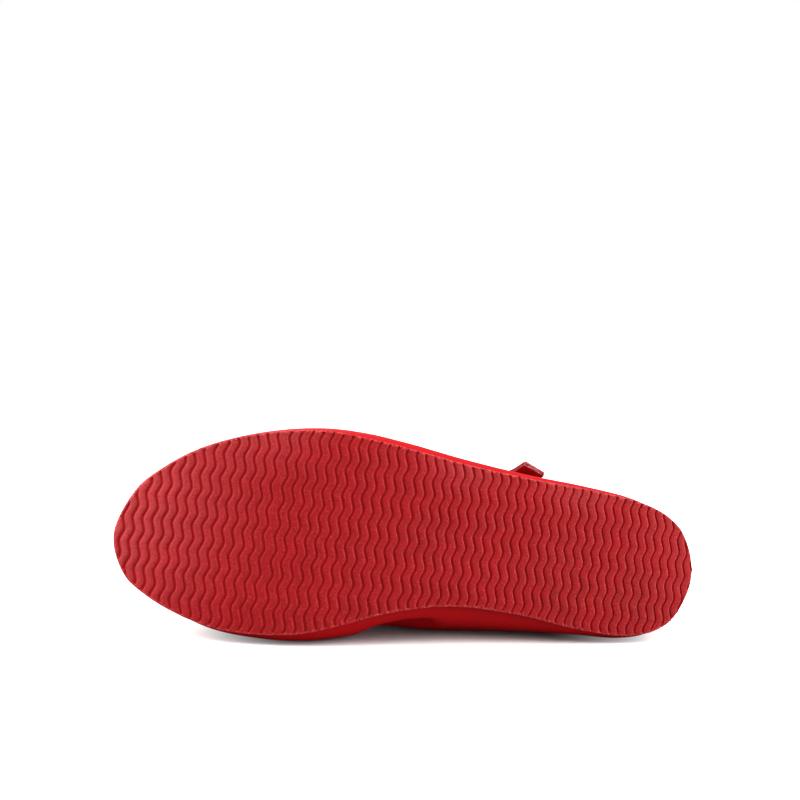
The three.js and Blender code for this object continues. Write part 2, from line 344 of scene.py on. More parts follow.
@dataclass(frozen=True)
class RoundCurve:
    """Smooth curve through points, centripetal so that uneven spacing makes no loops."""

    points: np.ndarray
    closed: bool

    def control(self, index: int) -> np.ndarray:
        """Point by number, wrapped on a closed curve and mirrored past an open end.

        Args:
            index: Number of the point, which may lie past an end.

        Returns:
            The point.
        """
        count = len(self.points)
        if self.closed:
            return self.points[index % count]
        if index < 0:
            return 2 * self.points[0] - self.points[1]
        if index >= count:
            return 2 * self.points[-1] - self.points[-2]
        return self.points[index]

    def at(self, share: float) -> np.ndarray:
        """Point at a share of the whole curve.

        Args:
            share: From 0 at the first point to 1 at the end.

        Returns:
            The point.
        """
        spans = len(self.points) - (0 if self.closed else 1)
        position = share * spans
        index = min(int(position), spans - 1)
        t = position - index
        p0, p1, p2, p3 = (self.control(index + k) for k in (-1, 0, 1, 2))
        d0, d1, d2 = (math.sqrt(np.linalg.norm(b - a)) for a, b in ((p0, p1), (p1, p2), (p2, p3)))
        start = ((p1 - p0) / d0 - (p2 - p0) / (d0 + d1) + (p2 - p1) / d1) * d1
        end = ((p2 - p1) / d1 - (p3 - p1) / (d1 + d2) + (p3 - p2) / d2) * d1
        square, cube = t * t, t * t * t
        return (
            (2 * cube - 3 * square + 1) * p1
            + (cube - 2 * square + t) * start
            + (3 * square - 2 * cube) * p2
            + (cube - square) * end
        )

    def tangent(self, share: float) -> np.ndarray:
        """Direction of the curve at a share of it.

        Args:
            share: From 0 at the first point to 1 at the end.

        Returns:
            A unit vector.
        """
        if self.closed:
            before, after = (share - TANGENT_STEP) % 1, (share + TANGENT_STEP) % 1
        else:
            before, after = max(share - TANGENT_STEP, 0), min(share + TANGENT_STEP, 1)
        return unit(self.at(after) - self.at(before))


@dataclass(frozen=True)
class ShoeFrame:
    """Place of the shoe's own axes in the part's frame."""

    origin: np.ndarray
    turn: np.ndarray

    @classmethod
    def from_record(cls, record: dict) -> "ShoeFrame":
        """Axes worked out from the two flat spots of the tread.

        Args:
            record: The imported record.

        Returns:
            The frame of the shoe.
        """
        mounts = {mount["name"]: mount for mount in record["mounts"]}
        heel = np.array(mounts["heel_tread"]["pos_m"])
        fore = np.array(mounts["forefoot_tread"]["pos_m"])
        up = -unit(np.array(mounts["heel_tread"]["axis"]))
        forward = fore - heel
        forward = unit(forward - up * (forward @ up))
        turn = np.column_stack([forward, np.cross(up, forward), up])
        return cls(heel - forward * HEEL_MOUNT_X * MM, turn)

    def place(self, points: np.ndarray) -> np.ndarray:
        """Points in shoe millimetres as points in the part's metres."""
        return self.origin + (np.asarray(points, float) * MM) @ self.turn.T

    def direct(self, vectors: np.ndarray) -> np.ndarray:
        """Directions in the shoe's axes as directions in the part's frame."""
        return np.asarray(vectors, float) @ self.turn.T


class Last:
    """Form of the last: outlines, heights and sections, in shoe millimetres."""

    def __init__(self) -> None:
        """Makes the two outlines and finds the stations where the sections start to fan."""
        self.sole_edge = self.closed_outline("sole_outer", "sole_inner", SOLE_HEEL_X, SOLE_TOE_X)
        self.widest_line = self.closed_outline("upper_outer", "upper_inner", UPPER_HEEL_X, UPPER_TOE_X)
        self.heel_fan = self.station_at(HEEL_FAN_X)
        self.toe_fan = self.station_at(TOE_FAN_X)

    @staticmethod
    def closed_outline(outer: str, inner: str, heel_x: float, toe_x: float) -> RoundCurve:
        """Outline from the heel end along the outer rows to the toe end and back along the inner rows.

        Args:
            outer: Column of the outer half width.
            inner: Column of the inner half width.
            heel_x: Place of the heel end.
            toe_x: Place of the toe end.

        Returns:
            The closed curve.
        """
        outside = [(row.x, getattr(row, outer), 0.0) for row in OUTLINE_ROWS]
        inside = [(row.x, getattr(row, inner), 0.0) for row in reversed(OUTLINE_ROWS)]
        ends = (heel_x, HEEL_END_Y, 0.0), (toe_x, TOE_END_Y, 0.0)
        return RoundCurve(np.array([ends[0], *outside, ends[1], *inside]), True)

    @staticmethod
    def share_of(station: float, side: Side) -> float:
        """Share of an outline at a station, which counts table rows from the heel end."""
        share = station / (2 * LAST_STATION)
        return share if side is Side.OUTER else 1 - share

    def outline_point(self, curve: RoundCurve, station: float, side: Side) -> np.ndarray:
        """Point of an outline at a station and side."""
        return curve.at(self.share_of(station, side))

    @staticmethod
    def inset_at(curve: RoundCurve, share: float, inset: float) -> np.ndarray:
        """Point of an outline moved inwards in the ground plane."""
        along_x, along_y, _ = curve.tangent(share)
        return curve.at(share) - inset * np.array([-along_y, along_x, 0.0])

    def midline(self, station: float) -> np.ndarray:
        """Middle of the widest line at a station."""
        outer = self.outline_point(self.widest_line, station, Side.OUTER)
        return (outer + self.outline_point(self.widest_line, station, Side.INNER)) / 2

    def station_at(self, x: float) -> float:
        """Station whose midline reaches x.

        Args:
            x: Place along the shoe.

        Returns:
            The station.
        """
        low, high = 0.0, float(LAST_STATION)
        for _ in range(SEARCH_HALVINGS):
            middle = (low + high) / 2
            if self.midline(middle)[0] < x:
                low = middle
            else:
                high = middle
        return low

    @staticmethod
    def sole_bottom(x: np.ndarray) -> np.ndarray:
        """Height of the tread: flat, with arcs up at the heel end and under the toes.

        Args:
            x: Places along the shoe.

        Returns:
            The heights.
        """
        past = np.maximum(x - FLAT_END, 0)
        behind = np.maximum(FLAT_START - x, 0)
        toe_rise = TOE_SPRING_RADIUS - np.sqrt(TOE_SPRING_RADIUS**2 - past**2)
        return toe_rise + HEEL_SPRING_RADIUS - np.sqrt(HEEL_SPRING_RADIUS**2 - behind**2)

    @staticmethod
    def sole_up(x: np.ndarray) -> np.ndarray:
        """Direction into the sole from its tread.

        Args:
            x: Places along the shoe.

        Returns:
            Unit vectors.
        """
        toe_lean = np.maximum(x - FLAT_END, 0) / TOE_SPRING_RADIUS
        heel_lean = np.maximum(FLAT_START - x, 0) / HEEL_SPRING_RADIUS
        lean = heel_lean - toe_lean
        return np.stack([lean, np.zeros_like(lean), np.sqrt(1 - lean**2)], axis=-1)

    def section(self, station: float, side: Side, steps: "SectionSteps", margin: float = 0.0) -> np.ndarray:
        """Section of the upper from its feather edge to its top edge, or to the ridge ahead of the throat.

        Args:
            station: Station along the outline.
            side: Side of the shoe.
            steps: Steps of the tuck and of the side.
            margin: Distance by which the section stops short of the top edge.

        Returns:
            Points of the section, one row each.
        """
        spine = self.midline(min(max(station, self.heel_fan), self.toe_fan))
        feather = self.inset_at(self.sole_edge, self.share_of(station, side), FEATHER_INSET)
        feather[2] = self.sole_bottom(feather[0]) + SOLE_THICKNESS + steps.seam_gap
        widest = self.outline_point(self.widest_line, station, side)
        outer_share = smoothstep(widest[1], spine[1] - SIDE_BLEND, spine[1] + SIDE_BLEND)
        inner_rise = along(LAST_ROWS, "widest_inner", widest[0])
        outer_rise = along(LAST_ROWS, "widest_outer", widest[0])
        foot = self.sole_bottom(widest[0]) + SOLE_THICKNESS + FIT_GAP
        widest[2] = foot + inner_rise + (outer_rise - inner_rise) * outer_share
        ridge = spine.copy()
        ridge[2] = along(LAST_ROWS, "ridge", spine[0])
        fullness = along(LAST_ROWS, "fullness", widest[0])
        turn = np.linspace(0, math.pi / 2, steps.tuck, endpoint=False)
        tuck = feather + (widest - feather) * np.sin(turn)[:, None]
        tuck[:, 2] = feather[2] + (widest[2] - feather[2]) * (1 - np.cos(turn))
        angle = np.linspace(0, self.top_angle(station, widest, ridge, fullness, margin), steps.side + 1)
        out = np.maximum(np.cos(angle), 0) ** (2 / fullness)
        up = np.sin(angle) ** (2 / fullness)
        wall = ridge + (widest - ridge) * out[:, None]
        wall[:, 2] = widest[2] + (ridge[2] - widest[2]) * up
        return np.vstack([tuck, wall])

    def top_angle(
        self, station: float, widest: np.ndarray, ridge: np.ndarray, fullness: float, margin: float
    ) -> float:
        """Angle on the section at which the leather ends.

        Args:
            station: Station along the outline.
            widest: Widest point of the section.
            ridge: Ridge point of the section.
            fullness: Fullness of the section.
            margin: Distance by which the edge is drawn back.

        Returns:
            The angle: that of the top edge behind the throat, a right angle ahead of it.
        """
        behind = (THROAT_X + margin - self.midline(station)[0]) / THROAT_ROUNDING
        if behind <= 0:
            return math.pi / 2
        edge = along(LAST_ROWS, "topline", widest[0]) - margin
        share = (edge - widest[2]) / (ridge[2] - widest[2])
        side = math.asin(share ** (fullness / 2))
        opened = math.sqrt(1 - (1 - min(behind, 1)) ** 2)
        return math.pi / 2 + (side - math.pi / 2) * opened

    def stations(self, steps: "SectionSteps", margin: float) -> list[float]:
        """Stations of the upper's sections: even steps, closing up towards the rounded throat.

        Args:
            steps: Steps along the upper.
            margin: Distance by which the throat is drawn back.

        Returns:
            Stations from heel to toe.
        """
        throat = THROAT_X + margin
        quarter_end = self.station_at(throat - THROAT_ROUNDING)
        quarter = np.linspace(0, quarter_end, steps.quarter, endpoint=False)
        turns = np.linspace(math.pi / 2, 0, steps.throat, endpoint=False)
        opening = [self.station_at(throat - THROAT_ROUNDING * (1 - math.cos(turn))) for turn in turns]
        vamp = np.linspace(self.station_at(throat), LAST_STATION, steps.vamp + 1)
        return [*quarter, *opening, *vamp]


@dataclass(frozen=True)
class SectionSteps:
    """Mesh steps of the upper, and its gap to the sole."""

    quarter: int = 64
    throat: int = 18
    vamp: int = 60
    tuck: int = 20
    side: int = 30
    seam_gap: float = 0.05


@dataclass
class MeshData:
    """Points in shoe millimetres, faces, a wall part for each face, and values for each point."""

    points: np.ndarray
    faces: list[tuple[int, ...]]
    parts: list[Wall] = field(default_factory=list)
    values: dict[str, np.ndarray] = field(default_factory=dict)


def welded(points: np.ndarray, faces: Sequence[Sequence[int]]) -> MeshData:
    """Mesh with points that coincide merged and collapsed faces dropped.

    Args:
        points: Points of the mesh.
        faces: Faces by point number.

    Returns:
        The welded mesh.
    """
    _, first, new_number = np.unique(
        np.round(points, WELD_DECIMALS), axis=0, return_index=True, return_inverse=True
    )
    new_number = new_number.ravel()
    kept = []
    for face in faces:
        corners = list(dict.fromkeys(int(new_number[i]) for i in face))
        if len(corners) > 2:
            kept.append(tuple(corners))
    return MeshData(points[first], kept)


def grid_mesh(columns: Sequence[np.ndarray]) -> MeshData:
    """Welded surface over columns of points, facing out when columns run right and rows run up.

    Args:
        columns: Columns of points, all of one length.

    Returns:
        The open mesh.
    """
    points = np.concatenate(columns)
    rows = len(columns[0])
    faces = []
    for i in range(len(columns) - 1):
        for j in range(rows - 1):
            a = i * rows + j
            faces.append((a, a + rows, a + rows + 1, a + 1))
    return welded(points, faces)


def point_normals(mesh: MeshData) -> np.ndarray:
    """Unit normals at the points, weighted by the area of the faces around them.

    Args:
        mesh: The mesh.

    Returns:
        One normal for each point.
    """
    total = np.zeros_like(mesh.points)
    for face in mesh.faces:
        corners = mesh.points[list(face)]
        if len(face) == 4:
            area = np.cross(corners[2] - corners[0], corners[3] - corners[1])
        else:
            area = np.cross(corners[1] - corners[0], corners[2] - corners[0])
        total[list(face)] += area
    return unit(total)


def rim_edges(mesh: MeshData) -> list[tuple[int, int]]:
    """Directed edges that only one face uses."""
    edges = {(a, b) for face in mesh.faces for a, b in zip(face, face[1:] + face[:1])}
    return sorted(edge for edge in edges if edge[::-1] not in edges)


def wall_mesh(surface: MeshData, front: float, back: float, rim_steps: int, bulge: float) -> MeshData:
    """Closed wall behind an open surface, with a rounded rim.

    Args:
        surface: Open surface that faces outwards.
        front: Depth of the wall's outer face below the surface.
        back: Depth of the wall's inner face below the surface.
        rim_steps: Steps of the rim from the outer to the inner face.
        bulge: How far the rim stands out, as a share of half the wall.

    Returns:
        The closed mesh, each face marked with its wall part.
    """
    normals = point_normals(surface)
    count = len(surface.points)
    edges = rim_edges(surface)
    outward = np.zeros_like(surface.points)
    for a, b in edges:
        across = np.cross(surface.points[b] - surface.points[a], normals[a] + normals[b])
        outward[[a, b]] += unit(across)
    rim_points = sorted({i for edge in edges for i in edge})
    rim_place = {point: k for k, point in enumerate(rim_points)}
    beyond = unit(outward[rim_points])
    middle = surface.points[rim_points] - normals[rim_points] * (front + back) / 2
    half = (back - front) / 2
    layers = [surface.points - normals * front, surface.points - normals * back]
    for step in range(1, rim_steps):
        turn = math.pi * step / rim_steps
        lift = normals[rim_points] * math.cos(turn) + beyond * math.sin(turn) * bulge
        layers.append(middle + lift * half)

    def rim_index(point: int, step: int) -> int:
        """Number of a rim point, from the outer face at step 0 to the inner face at the last step.

        Args:
            point: Number of the point in the surface.
            step: Step round the rim.

        Returns:
            The number of the point in the wall.
        """
        if step == 0:
            return point
        if step == rim_steps:
            return count + point
        return 2 * count + (step - 1) * len(rim_points) + rim_place[point]

    faces = list(surface.faces)
    faces += [tuple(count + i for i in reversed(face)) for face in surface.faces]
    parts = [Wall.FACE] * len(surface.faces) + [Wall.BACK] * len(surface.faces)
    for a, b in edges:
        for step in range(rim_steps):
            near, far = ((rim_index(a, k), rim_index(b, k)) for k in (step, step + 1))
            faces.append((near[1], near[0], far[0], far[1]))
            parts.append(Wall.RIM)
    return MeshData(np.vstack(layers), faces, parts)


def ring_faces(low: Sequence[int], high: Sequence[int]) -> list[tuple[int, ...]]:
    """Faces between two closed rings of equal length that run round against the clock."""
    count = len(low)
    return [(low[i], low[(i + 1) % count], high[(i + 1) % count], high[i]) for i in range(count)]


def cap_faces(ring: Sequence[int]) -> list[tuple[int, ...]]:
    """Faces across a closed ring, each joining a stretch of one side to the other side's.

    Args:
        ring: Numbers of the ring's points.

    Returns:
        The faces.
    """
    count = len(ring)
    faces = []
    for i in range(count // 2):
        corners = (ring[i], ring[i + 1], ring[count - i - 1], ring[(count - i) % count])
        faces.append(tuple(dict.fromkeys(corners)))
    return faces


def linked(name: str, data: bpy.types.ID) -> bpy.types.Object:
    """New object of some data, at the origin and in the scene.

    Args:
        name: Name of the object.
        data: Its mesh, light or camera.

    Returns:
        The object.
    """
    item = bpy.data.objects.new(name, data)
    bpy.context.scene.collection.objects.link(item)
    return item


def make_piece(
    name: str, mesh: MeshData, frame: ShoeFrame, materials: Sequence[bpy.types.Material]
) -> bpy.types.Object:
    """Blender object of a mesh, with its place in its points.

    Args:
        name: Name of the piece.
        mesh: The mesh in shoe millimetres.
        frame: Place of the shoe.
        materials: One material for each wall part in use.

    Returns:
        The linked object, at the origin.
    """
    data = bpy.data.meshes.new(name)
    data.from_pydata(frame.place(mesh.points).tolist(), [], mesh.faces, shade_flat=False)
    for material in materials:
        data.materials.append(material)
    if mesh.parts:
        places = [min(part.value, len(materials) - 1) for part in mesh.parts]
        data.polygons.foreach_set("material_index", places)
    add_values(data, "shoe_place", mesh.points)
    for label, values in mesh.values.items():
        add_values(data, label, values)
    data.update()
    return linked(name, data)


def add_values(data: bpy.types.Mesh, label: str, values: np.ndarray) -> None:
    """Keeps numbers or vectors on a mesh's points under a name.

    Args:
        data: The mesh.
        label: Name of the values.
        values: One number or vector for each point.
    """
    if values.ndim == 2:
        layer = data.attributes.new(label, "FLOAT_VECTOR", "POINT")
        layer.data.foreach_set("vector", values.astype(np.float32).ravel())
    else:
        layer = data.attributes.new(label, "FLOAT", "POINT")
        layer.data.foreach_set("value", values.astype(np.float32))


def stand_in(piece: bpy.types.Object, node: str) -> bpy.types.Object:
    """Lets a piece ride on the shoe in place of a CAD node, and reports it.

    Args:
        piece: The finished piece.
        node: CAD node that it stands for.

    Returns:
        The piece.
    """
    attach(piece, BODY)
    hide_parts(node)
    LOG.info("%s: %d faces in place of %s", piece.name, len(piece.data.polygons), node)
    return piece


class NodeBuilder:
    """Short way to add nodes to a tree and join them."""

    def __init__(self, tree: bpy.types.NodeTree) -> None:
        """Works on the given tree."""
        self.tree = tree

    def add(self, kind: str, inputs: dict | None = None, **settings: object) -> bpy.types.Node:
        """Adds one node.

        Args:
            kind: Blender's name of the node type.
            inputs: Values or sockets for its inputs, by name or number.
            settings: Properties of the node.

        Returns:
            The node.
        """
        node = self.tree.nodes.new(kind)
        for label, value in settings.items():
            setattr(node, label, value)
        for label, value in (inputs or {}).items():
            if isinstance(value, bpy.types.NodeSocket):
                self.link(value, node.inputs[label])
            else:
                node.inputs[label].default_value = value
        return node

    def math(self, operation: str, a: object, b: object = 0.0, clamp: bool = False) -> bpy.types.NodeSocket:
        """Result of one sum on numbers or sockets."""
        node = self.add("ShaderNodeMath", {0: a, 1: b}, operation=operation, use_clamp=clamp)
        return node.outputs[0]

    def ramp(
        self, value: object, low: object, high: object, start: float, end: float
    ) -> bpy.types.NodeSocket:
        """Soft change from start to end as value goes from low to high."""
        inputs = {"Value": value, "From Min": low, "From Max": high, "To Min": start, "To Max": end}
        return self.add("ShaderNodeMapRange", inputs, interpolation_type="SMOOTHSTEP").outputs[0]

    def mix(self, factor: object, a: object, b: object, blend: str = "MIX") -> bpy.types.NodeSocket:
        """Mix of two colours."""
        settings = {"data_type": "RGBA", "blend_type": blend, "clamp_factor": True}
        return self.add("ShaderNodeMix", {0: factor, 6: a, 7: b}, **settings).outputs[2]

    def noise(
        self, place: object, scale: object, detail: float = 2.0, rough: float = 0.5
    ) -> bpy.types.NodeSocket:
        """Even noise; the scale is how many features a unit of the place holds."""
        inputs = {"Vector": place, "Scale": scale, "Detail": detail, "Roughness": rough}
        return self.add("ShaderNodeTexNoise", inputs).outputs[0]

    def mark(self, label: str, output: str = "Fac") -> bpy.types.NodeSocket:
        """Value that a mesh keeps on its points, for a material."""
        return self.add("ShaderNodeAttribute", attribute_name=label).outputs[output]

    def group(self, tree: bpy.types.NodeTree, inputs: dict) -> bpy.types.NodeSocket:
        """Result of a shader node group placed with its own values."""
        return self.add("ShaderNodeGroup", inputs, node_tree=tree).outputs[0]

    def link(self, value: bpy.types.NodeSocket, target: bpy.types.NodeSocket) -> None:
        """Joins an output to an input."""
        self.tree.links.new(value, target)


def new_group(name: str, kind: str, inputs: dict[str, str], outputs: dict[str, str]) -> bpy.types.NodeTree:
    """Empty node group with named sockets.

    Args:
        name: Name of the group.
        kind: Blender's tree type.
        inputs: Socket types of the inputs by name.
        outputs: Socket types of the outputs by name.

    Returns:
        The tree, with its entry and exit nodes.
    """
    tree = bpy.data.node_groups.new(name, kind)
    for label, socket in inputs.items():
        tree.interface.new_socket(label, in_out="INPUT", socket_type=socket)
    for label, socket in outputs.items():
        tree.interface.new_socket(label, in_out="OUTPUT", socket_type=socket)
    tree.nodes.new("NodeGroupInput").name = "Entry"
    tree.nodes.new("NodeGroupOutput").name = "Exit"
    return tree


def new_material(name: str) -> tuple[bpy.types.Material, NodeBuilder, bpy.types.Node]:
    """Plain material with its tree at hand.

    Args:
        name: Name of the material.

    Returns:
        The material, a builder on its tree, and its shader.
    """
    material = bpy.data.materials.new(name)
    material.use_nodes = True
    return material, NodeBuilder(material.node_tree), material.node_tree.nodes["Principled BSDF"]


class Effects:
    """Shader node groups that several finishes share."""

    def __init__(self) -> None:
        """Builds each group once."""
        self.grain = self.build_grain()
        self.mottle = self.build_mottle()
        self.spot_mask = self.build_spot_mask()

    @staticmethod
    def start(name: str, vectors: Sequence[str], numbers: Sequence[str], result: str) -> NodeBuilder:
        """Builder on an empty group that takes places and numbers and puts out one number."""
        inputs = dict.fromkeys(vectors, "NodeSocketVector") | dict.fromkeys(numbers, "NodeSocketFloat")
        return NodeBuilder(new_group(name, "ShaderNodeTree", inputs, {result: "NodeSocketFloat"}))

    @staticmethod
    def close(nodes: NodeBuilder, value: bpy.types.NodeSocket) -> bpy.types.NodeTree:
        """Puts a value out of a group, and gives back its tree."""
        nodes.link(value, nodes.tree.nodes["Exit"].inputs[0])
        return nodes.tree

    def build_grain(self) -> bpy.types.NodeTree:
        """Surface grain: pebbles with pores between them, or plain grit when Pebble is 0.

        Returns:
            The group.
        """
        nodes = self.start("Grain", ["Place"], ["Per Metre", "Pebble"], "Height")
        entry = nodes.tree.nodes["Entry"].outputs
        cell_inputs = {"Vector": entry["Place"], "Scale": entry["Per Metre"]}
        cells = nodes.add("ShaderNodeTexVoronoi", cell_inputs, feature="SMOOTH_F1").outputs["Distance"]
        grit = nodes.noise(entry["Place"], entry["Per Metre"], GRIT_DETAIL)
        share = nodes.math("MULTIPLY", nodes.math("SUBTRACT", 1.0, cells), entry["Pebble"])
        rest = nodes.math("MULTIPLY", grit, nodes.math("SUBTRACT", 1.0, entry["Pebble"]))
        return self.close(nodes, nodes.math("ADD", share, rest))

    def build_mottle(self) -> bpy.types.NodeTree:
        """Uneven tone around one, in broad soft patches.

        Returns:
            The group.
        """
        nodes = self.start("Mottle", ["Place"], ["Per Metre", "Contrast"], "Tone")
        entry = nodes.tree.nodes["Entry"].outputs
        patches = nodes.noise(entry["Place"], entry["Per Metre"], PATCH_DETAIL)
        swing = nodes.math("MULTIPLY", nodes.math("SUBTRACT", patches, 0.5), entry["Contrast"])
        return self.close(nodes, nodes.math("ADD", 1.0, swing))

    def build_spot_mask(self) -> bpy.types.NodeTree:
        """Round patch about a point of the shoe, even when Broken is 0, for darker patches and for spots of
        painted sheen.

        Returns:
            The group.
        """
        numbers = ["Radius", "Per Millimetre", "Broken"]
        nodes = self.start("Spot mask", ["Shoe Place", "Centre"], numbers, "Mask")
        entry = nodes.tree.nodes["Entry"].outputs
        ends = {0: entry["Shoe Place"], 1: entry["Centre"]}
        away = nodes.add("ShaderNodeVectorMath", ends, operation="DISTANCE").outputs["Value"]
        near = nodes.ramp(nodes.math("DIVIDE", away, entry["Radius"]), *SPOT_FADE)
        broken = nodes.noise(entry["Shoe Place"], entry["Per Millimetre"], PATCH_DETAIL)
        gaps = nodes.math("MULTIPLY", nodes.ramp(broken, *SPOT_GAPS), entry["Broken"])
        return self.close(nodes, nodes.math("MULTIPLY", near, nodes.math("SUBTRACT", 1.0, gaps)))


class Colour(NamedTuple):
    """Colour as it shows on a screen, each part from 0 to 255."""

    red: float
    green: float
    blue: float

    def linear(self) -> tuple[float, float, float, float]:
        """The colour for a shader socket, by the curve of a usual screen.

        Returns:
            Red, green, blue and alpha.
        """
        shares = [part / 255 for part in self]
        parts = [s / 12.92 if s <= 0.04045 else ((s + 0.055) / 1.055) ** 2.4 for s in shares]
        return parts[0], parts[1], parts[2], 1.0


@dataclass(frozen=True)
class Finish:
    """What every finish states: its name, base colour and gloss, and its grain."""

    name: str
    colour: Colour
    roughness: float
    grain_size: float
    grain_depth: float
    pebble: float = 0.0
    mottle_size: float = 14.0
    mottle_contrast: float = 0.3
    specular: float = 0.5
    sheen: float = 0.0

    def material(self, effects: Effects) -> bpy.types.Material:
        """Procedural material of this finish.

        Args:
            effects: The shared node groups.

        Returns:
            The material.
        """
        material, nodes, shader = new_material(self.name)
        place = nodes.add("ShaderNodeTexCoord").outputs["Object"]
        mottle = {"Per Metre": per_metre(self.mottle_size), "Contrast": self.mottle_contrast}
        tone = nodes.group(effects.mottle, {"Place": place, **mottle})
        colour = nodes.mix(1.0, self.surface_colour(nodes, effects, place), tone, "MULTIPLY")
        nodes.link(colour, shader.inputs["Base Color"])
        nodes.link(nodes.math("MULTIPLY", tone, self.roughness, clamp=True), shader.inputs["Roughness"])
        grain = {"Per Metre": per_metre(self.grain_size), "Pebble": self.pebble}
        height = nodes.group(effects.grain, {"Place": place, **grain})
        bump = {"Height": height, "Strength": 1.0, "Distance": self.grain_depth * MM}
        nodes.link(nodes.add("ShaderNodeBump", bump).outputs["Normal"], shader.inputs["Normal"])
        shader.inputs["Specular IOR Level"].default_value = self.specular
        shader.inputs["Sheen Weight"].default_value = self.sheen
        return material

    def surface_colour(self, nodes: NodeBuilder, effects: Effects, place: bpy.types.NodeSocket) -> object:
        """Colour before mottling; a plain finish has its base colour."""
        return self.colour.linear()


@dataclass(frozen=True)
class RubberFinish(Finish):
    """Moulded rubber of the outsole: deep red grooves, pale specks, pits and faint darker patches, with
    painted highlight on the heel-facing rib edges and along the cut edge, and spots of painted sheen.
    """

    groove_colour: Colour = Colour(190, 12, 18)
    # Painted highlight on the heel-facing rib edges.
    rim_highlight_colour: Colour = Colour(228, 70, 76)
    # Painted highlight along the sole's cut edge.
    edge_highlight_colour: Colour = Colour(234, 94, 98)
    # Pale specks of the rubber's own, and painted glints on the heel-facing rib edges.
    speck_and_glint_colour: Colour = Colour(228, 72, 76)
    # Darker patches in the middle of the tread and towards the heel on the inner side.
    dark_patch_colour: Colour = Colour(120, 30, 30)
    # Painted sheen: pale tint for reflected light at the toe and along the outer edge.
    sheen_spot_colour: Colour = Colour(226, 96, 100)
    pit_colour: Colour = Colour(150, 8, 14)
    dark_patch_strength: float = 0.35
    sheen_spot_strength: float = 0.26
    speck_size: float = 0.8
    speck_detail: float = 1.0
    speck_patch: float = 12.0
    # Patch size and detail that break up the painted rim highlight.
    rim_highlight_patch: float = 1.6
    rim_highlight_detail: float = 3.0
    spot_fineness: float = 0.22
    crowding: Ramp = Ramp(0.4, 0.6, 0.75, 1.0)
    specks: Ramp = Ramp(0.54, 0.7, 0.0, 0.3)
    # Glint specks: painted highlight where the grain meets the heel-facing rib edges.
    glint_specks: Ramp = Ramp(0.5, 0.66, 0.0, 0.9)
    pits: Ramp = Ramp(0.28, 0.46, 0.6, 0.0)
    # Breaks in the painted rim highlight.
    rim_highlight_breaks: Ramp = Ramp(0.35, 0.65, 0.25, 1.0)
    # Dots of painted highlight along the cut edge.
    edge_highlight_dots: Ramp = Ramp(0.44, 0.6, 0.1, 0.75)
    # Centres and radii of the darker patches.
    dark_patches: tuple[Spot, ...] = (Spot(126, 1, 0, 16), Spot(62, -8, 0, 26), Spot(30, -16, 0, 18))
    # Spots of painted sheen: at the toe a painted reflection of the toe-side light; along the outer edge,
    # which lies uppermost, partly wear and partly painted highlight from the light above.
    sheen_spots: tuple[Spot, ...] = (
        Spot(256, 4, 24, 78),
        Spot(200, 50, 5.7, 40),
        Spot(112, 46, 0, 30),
        Spot(60, 44, 0, 30),
    )

    def surface_colour(self, nodes: NodeBuilder, effects: Effects, place: bpy.types.NodeSocket) -> object:
        """Rib colour with grooves, specks, pits and darker patches mixed in, and painted highlight and
        painted sheen.

        Args:
            nodes: Builder on the material's tree.
            effects: The shared node groups.
            place: Object coordinates.

        Returns:
            The colour socket.
        """
        groove, rim, rub, edge = (nodes.mark(label) for label in ("groove", "rim", "rub", "cut_edge"))
        shoe_place = nodes.mark("shoe_place", "Vector")
        colour = self.colour.linear()
        # Darker patches, broken up by noise.
        spots = [(spot, self.dark_patch_colour, self.dark_patch_strength, 1.0) for spot in self.dark_patches]
        # Spots of painted sheen.
        spots += [(spot, self.sheen_spot_colour, self.sheen_spot_strength, 0.0) for spot in self.sheen_spots]
        for spot, tint, strength, broken in spots:
            patch = {"Shoe Place": shoe_place, "Centre": (spot.x, spot.y, spot.z), "Radius": spot.radius}
            patch |= {"Per Millimetre": self.spot_fineness, "Broken": broken}
            mask = nodes.group(effects.spot_mask, patch)
            colour = nodes.mix(nodes.math("MULTIPLY", mask, strength), colour, tint.linear())
        crumbs = nodes.noise(place, per_metre(self.speck_size), self.speck_detail)
        crowded = nodes.ramp(nodes.noise(place, per_metre(self.speck_patch)), *self.crowding)
        specks = nodes.math("MULTIPLY", nodes.ramp(crumbs, *self.specks), crowded)
        # Painted glints: pale specks along the heel-facing rib edges.
        glinted = nodes.math("MULTIPLY", nodes.ramp(crumbs, *self.glint_specks), rub)
        patchy = nodes.ramp(nodes.noise(place, per_metre(self.rim_highlight_patch), self.rim_highlight_detail), *self.rim_highlight_breaks)
        layers = (
            # Random pale specks are the rubber's own; the glints are painted highlight.
            (nodes.math("MAXIMUM", specks, glinted), self.speck_and_glint_colour),
            (nodes.ramp(crumbs, *self.pits), self.pit_colour),
            # Painted rim highlight on the heel-facing rib edges.
            (nodes.math("MULTIPLY", rim, patchy), self.rim_highlight_colour),
            (groove, self.groove_colour),
            # Painted highlight along the cut edge.
            (nodes.math("MULTIPLY", edge, nodes.ramp(crumbs, *self.edge_highlight_dots)), self.edge_highlight_colour),
        )
        for mask, tint in layers:
            colour = nodes.mix(mask, colour, tint.linear())
        return colour


@dataclass(frozen=True)
class FibreFinish(Finish):
    """Cut or napped material with pale fibres in it."""

    fibre_colour: Colour = Colour(230, 160, 160)
    fibre_size: float = 0.5
    fibre_detail: float = 4.0
    fibre_roughness: float = 0.7
    fibres: Ramp = Ramp(0.45, 0.7, 0.0, 0.8)

    def surface_colour(self, nodes: NodeBuilder, effects: Effects, place: bpy.types.NodeSocket) -> object:
        """Base colour with fibres mixed in."""
        tangle = nodes.noise(place, per_metre(self.fibre_size), self.fibre_detail, self.fibre_roughness)
        return nodes.mix(nodes.ramp(tangle, *self.fibres), self.colour.linear(), self.fibre_colour.linear())


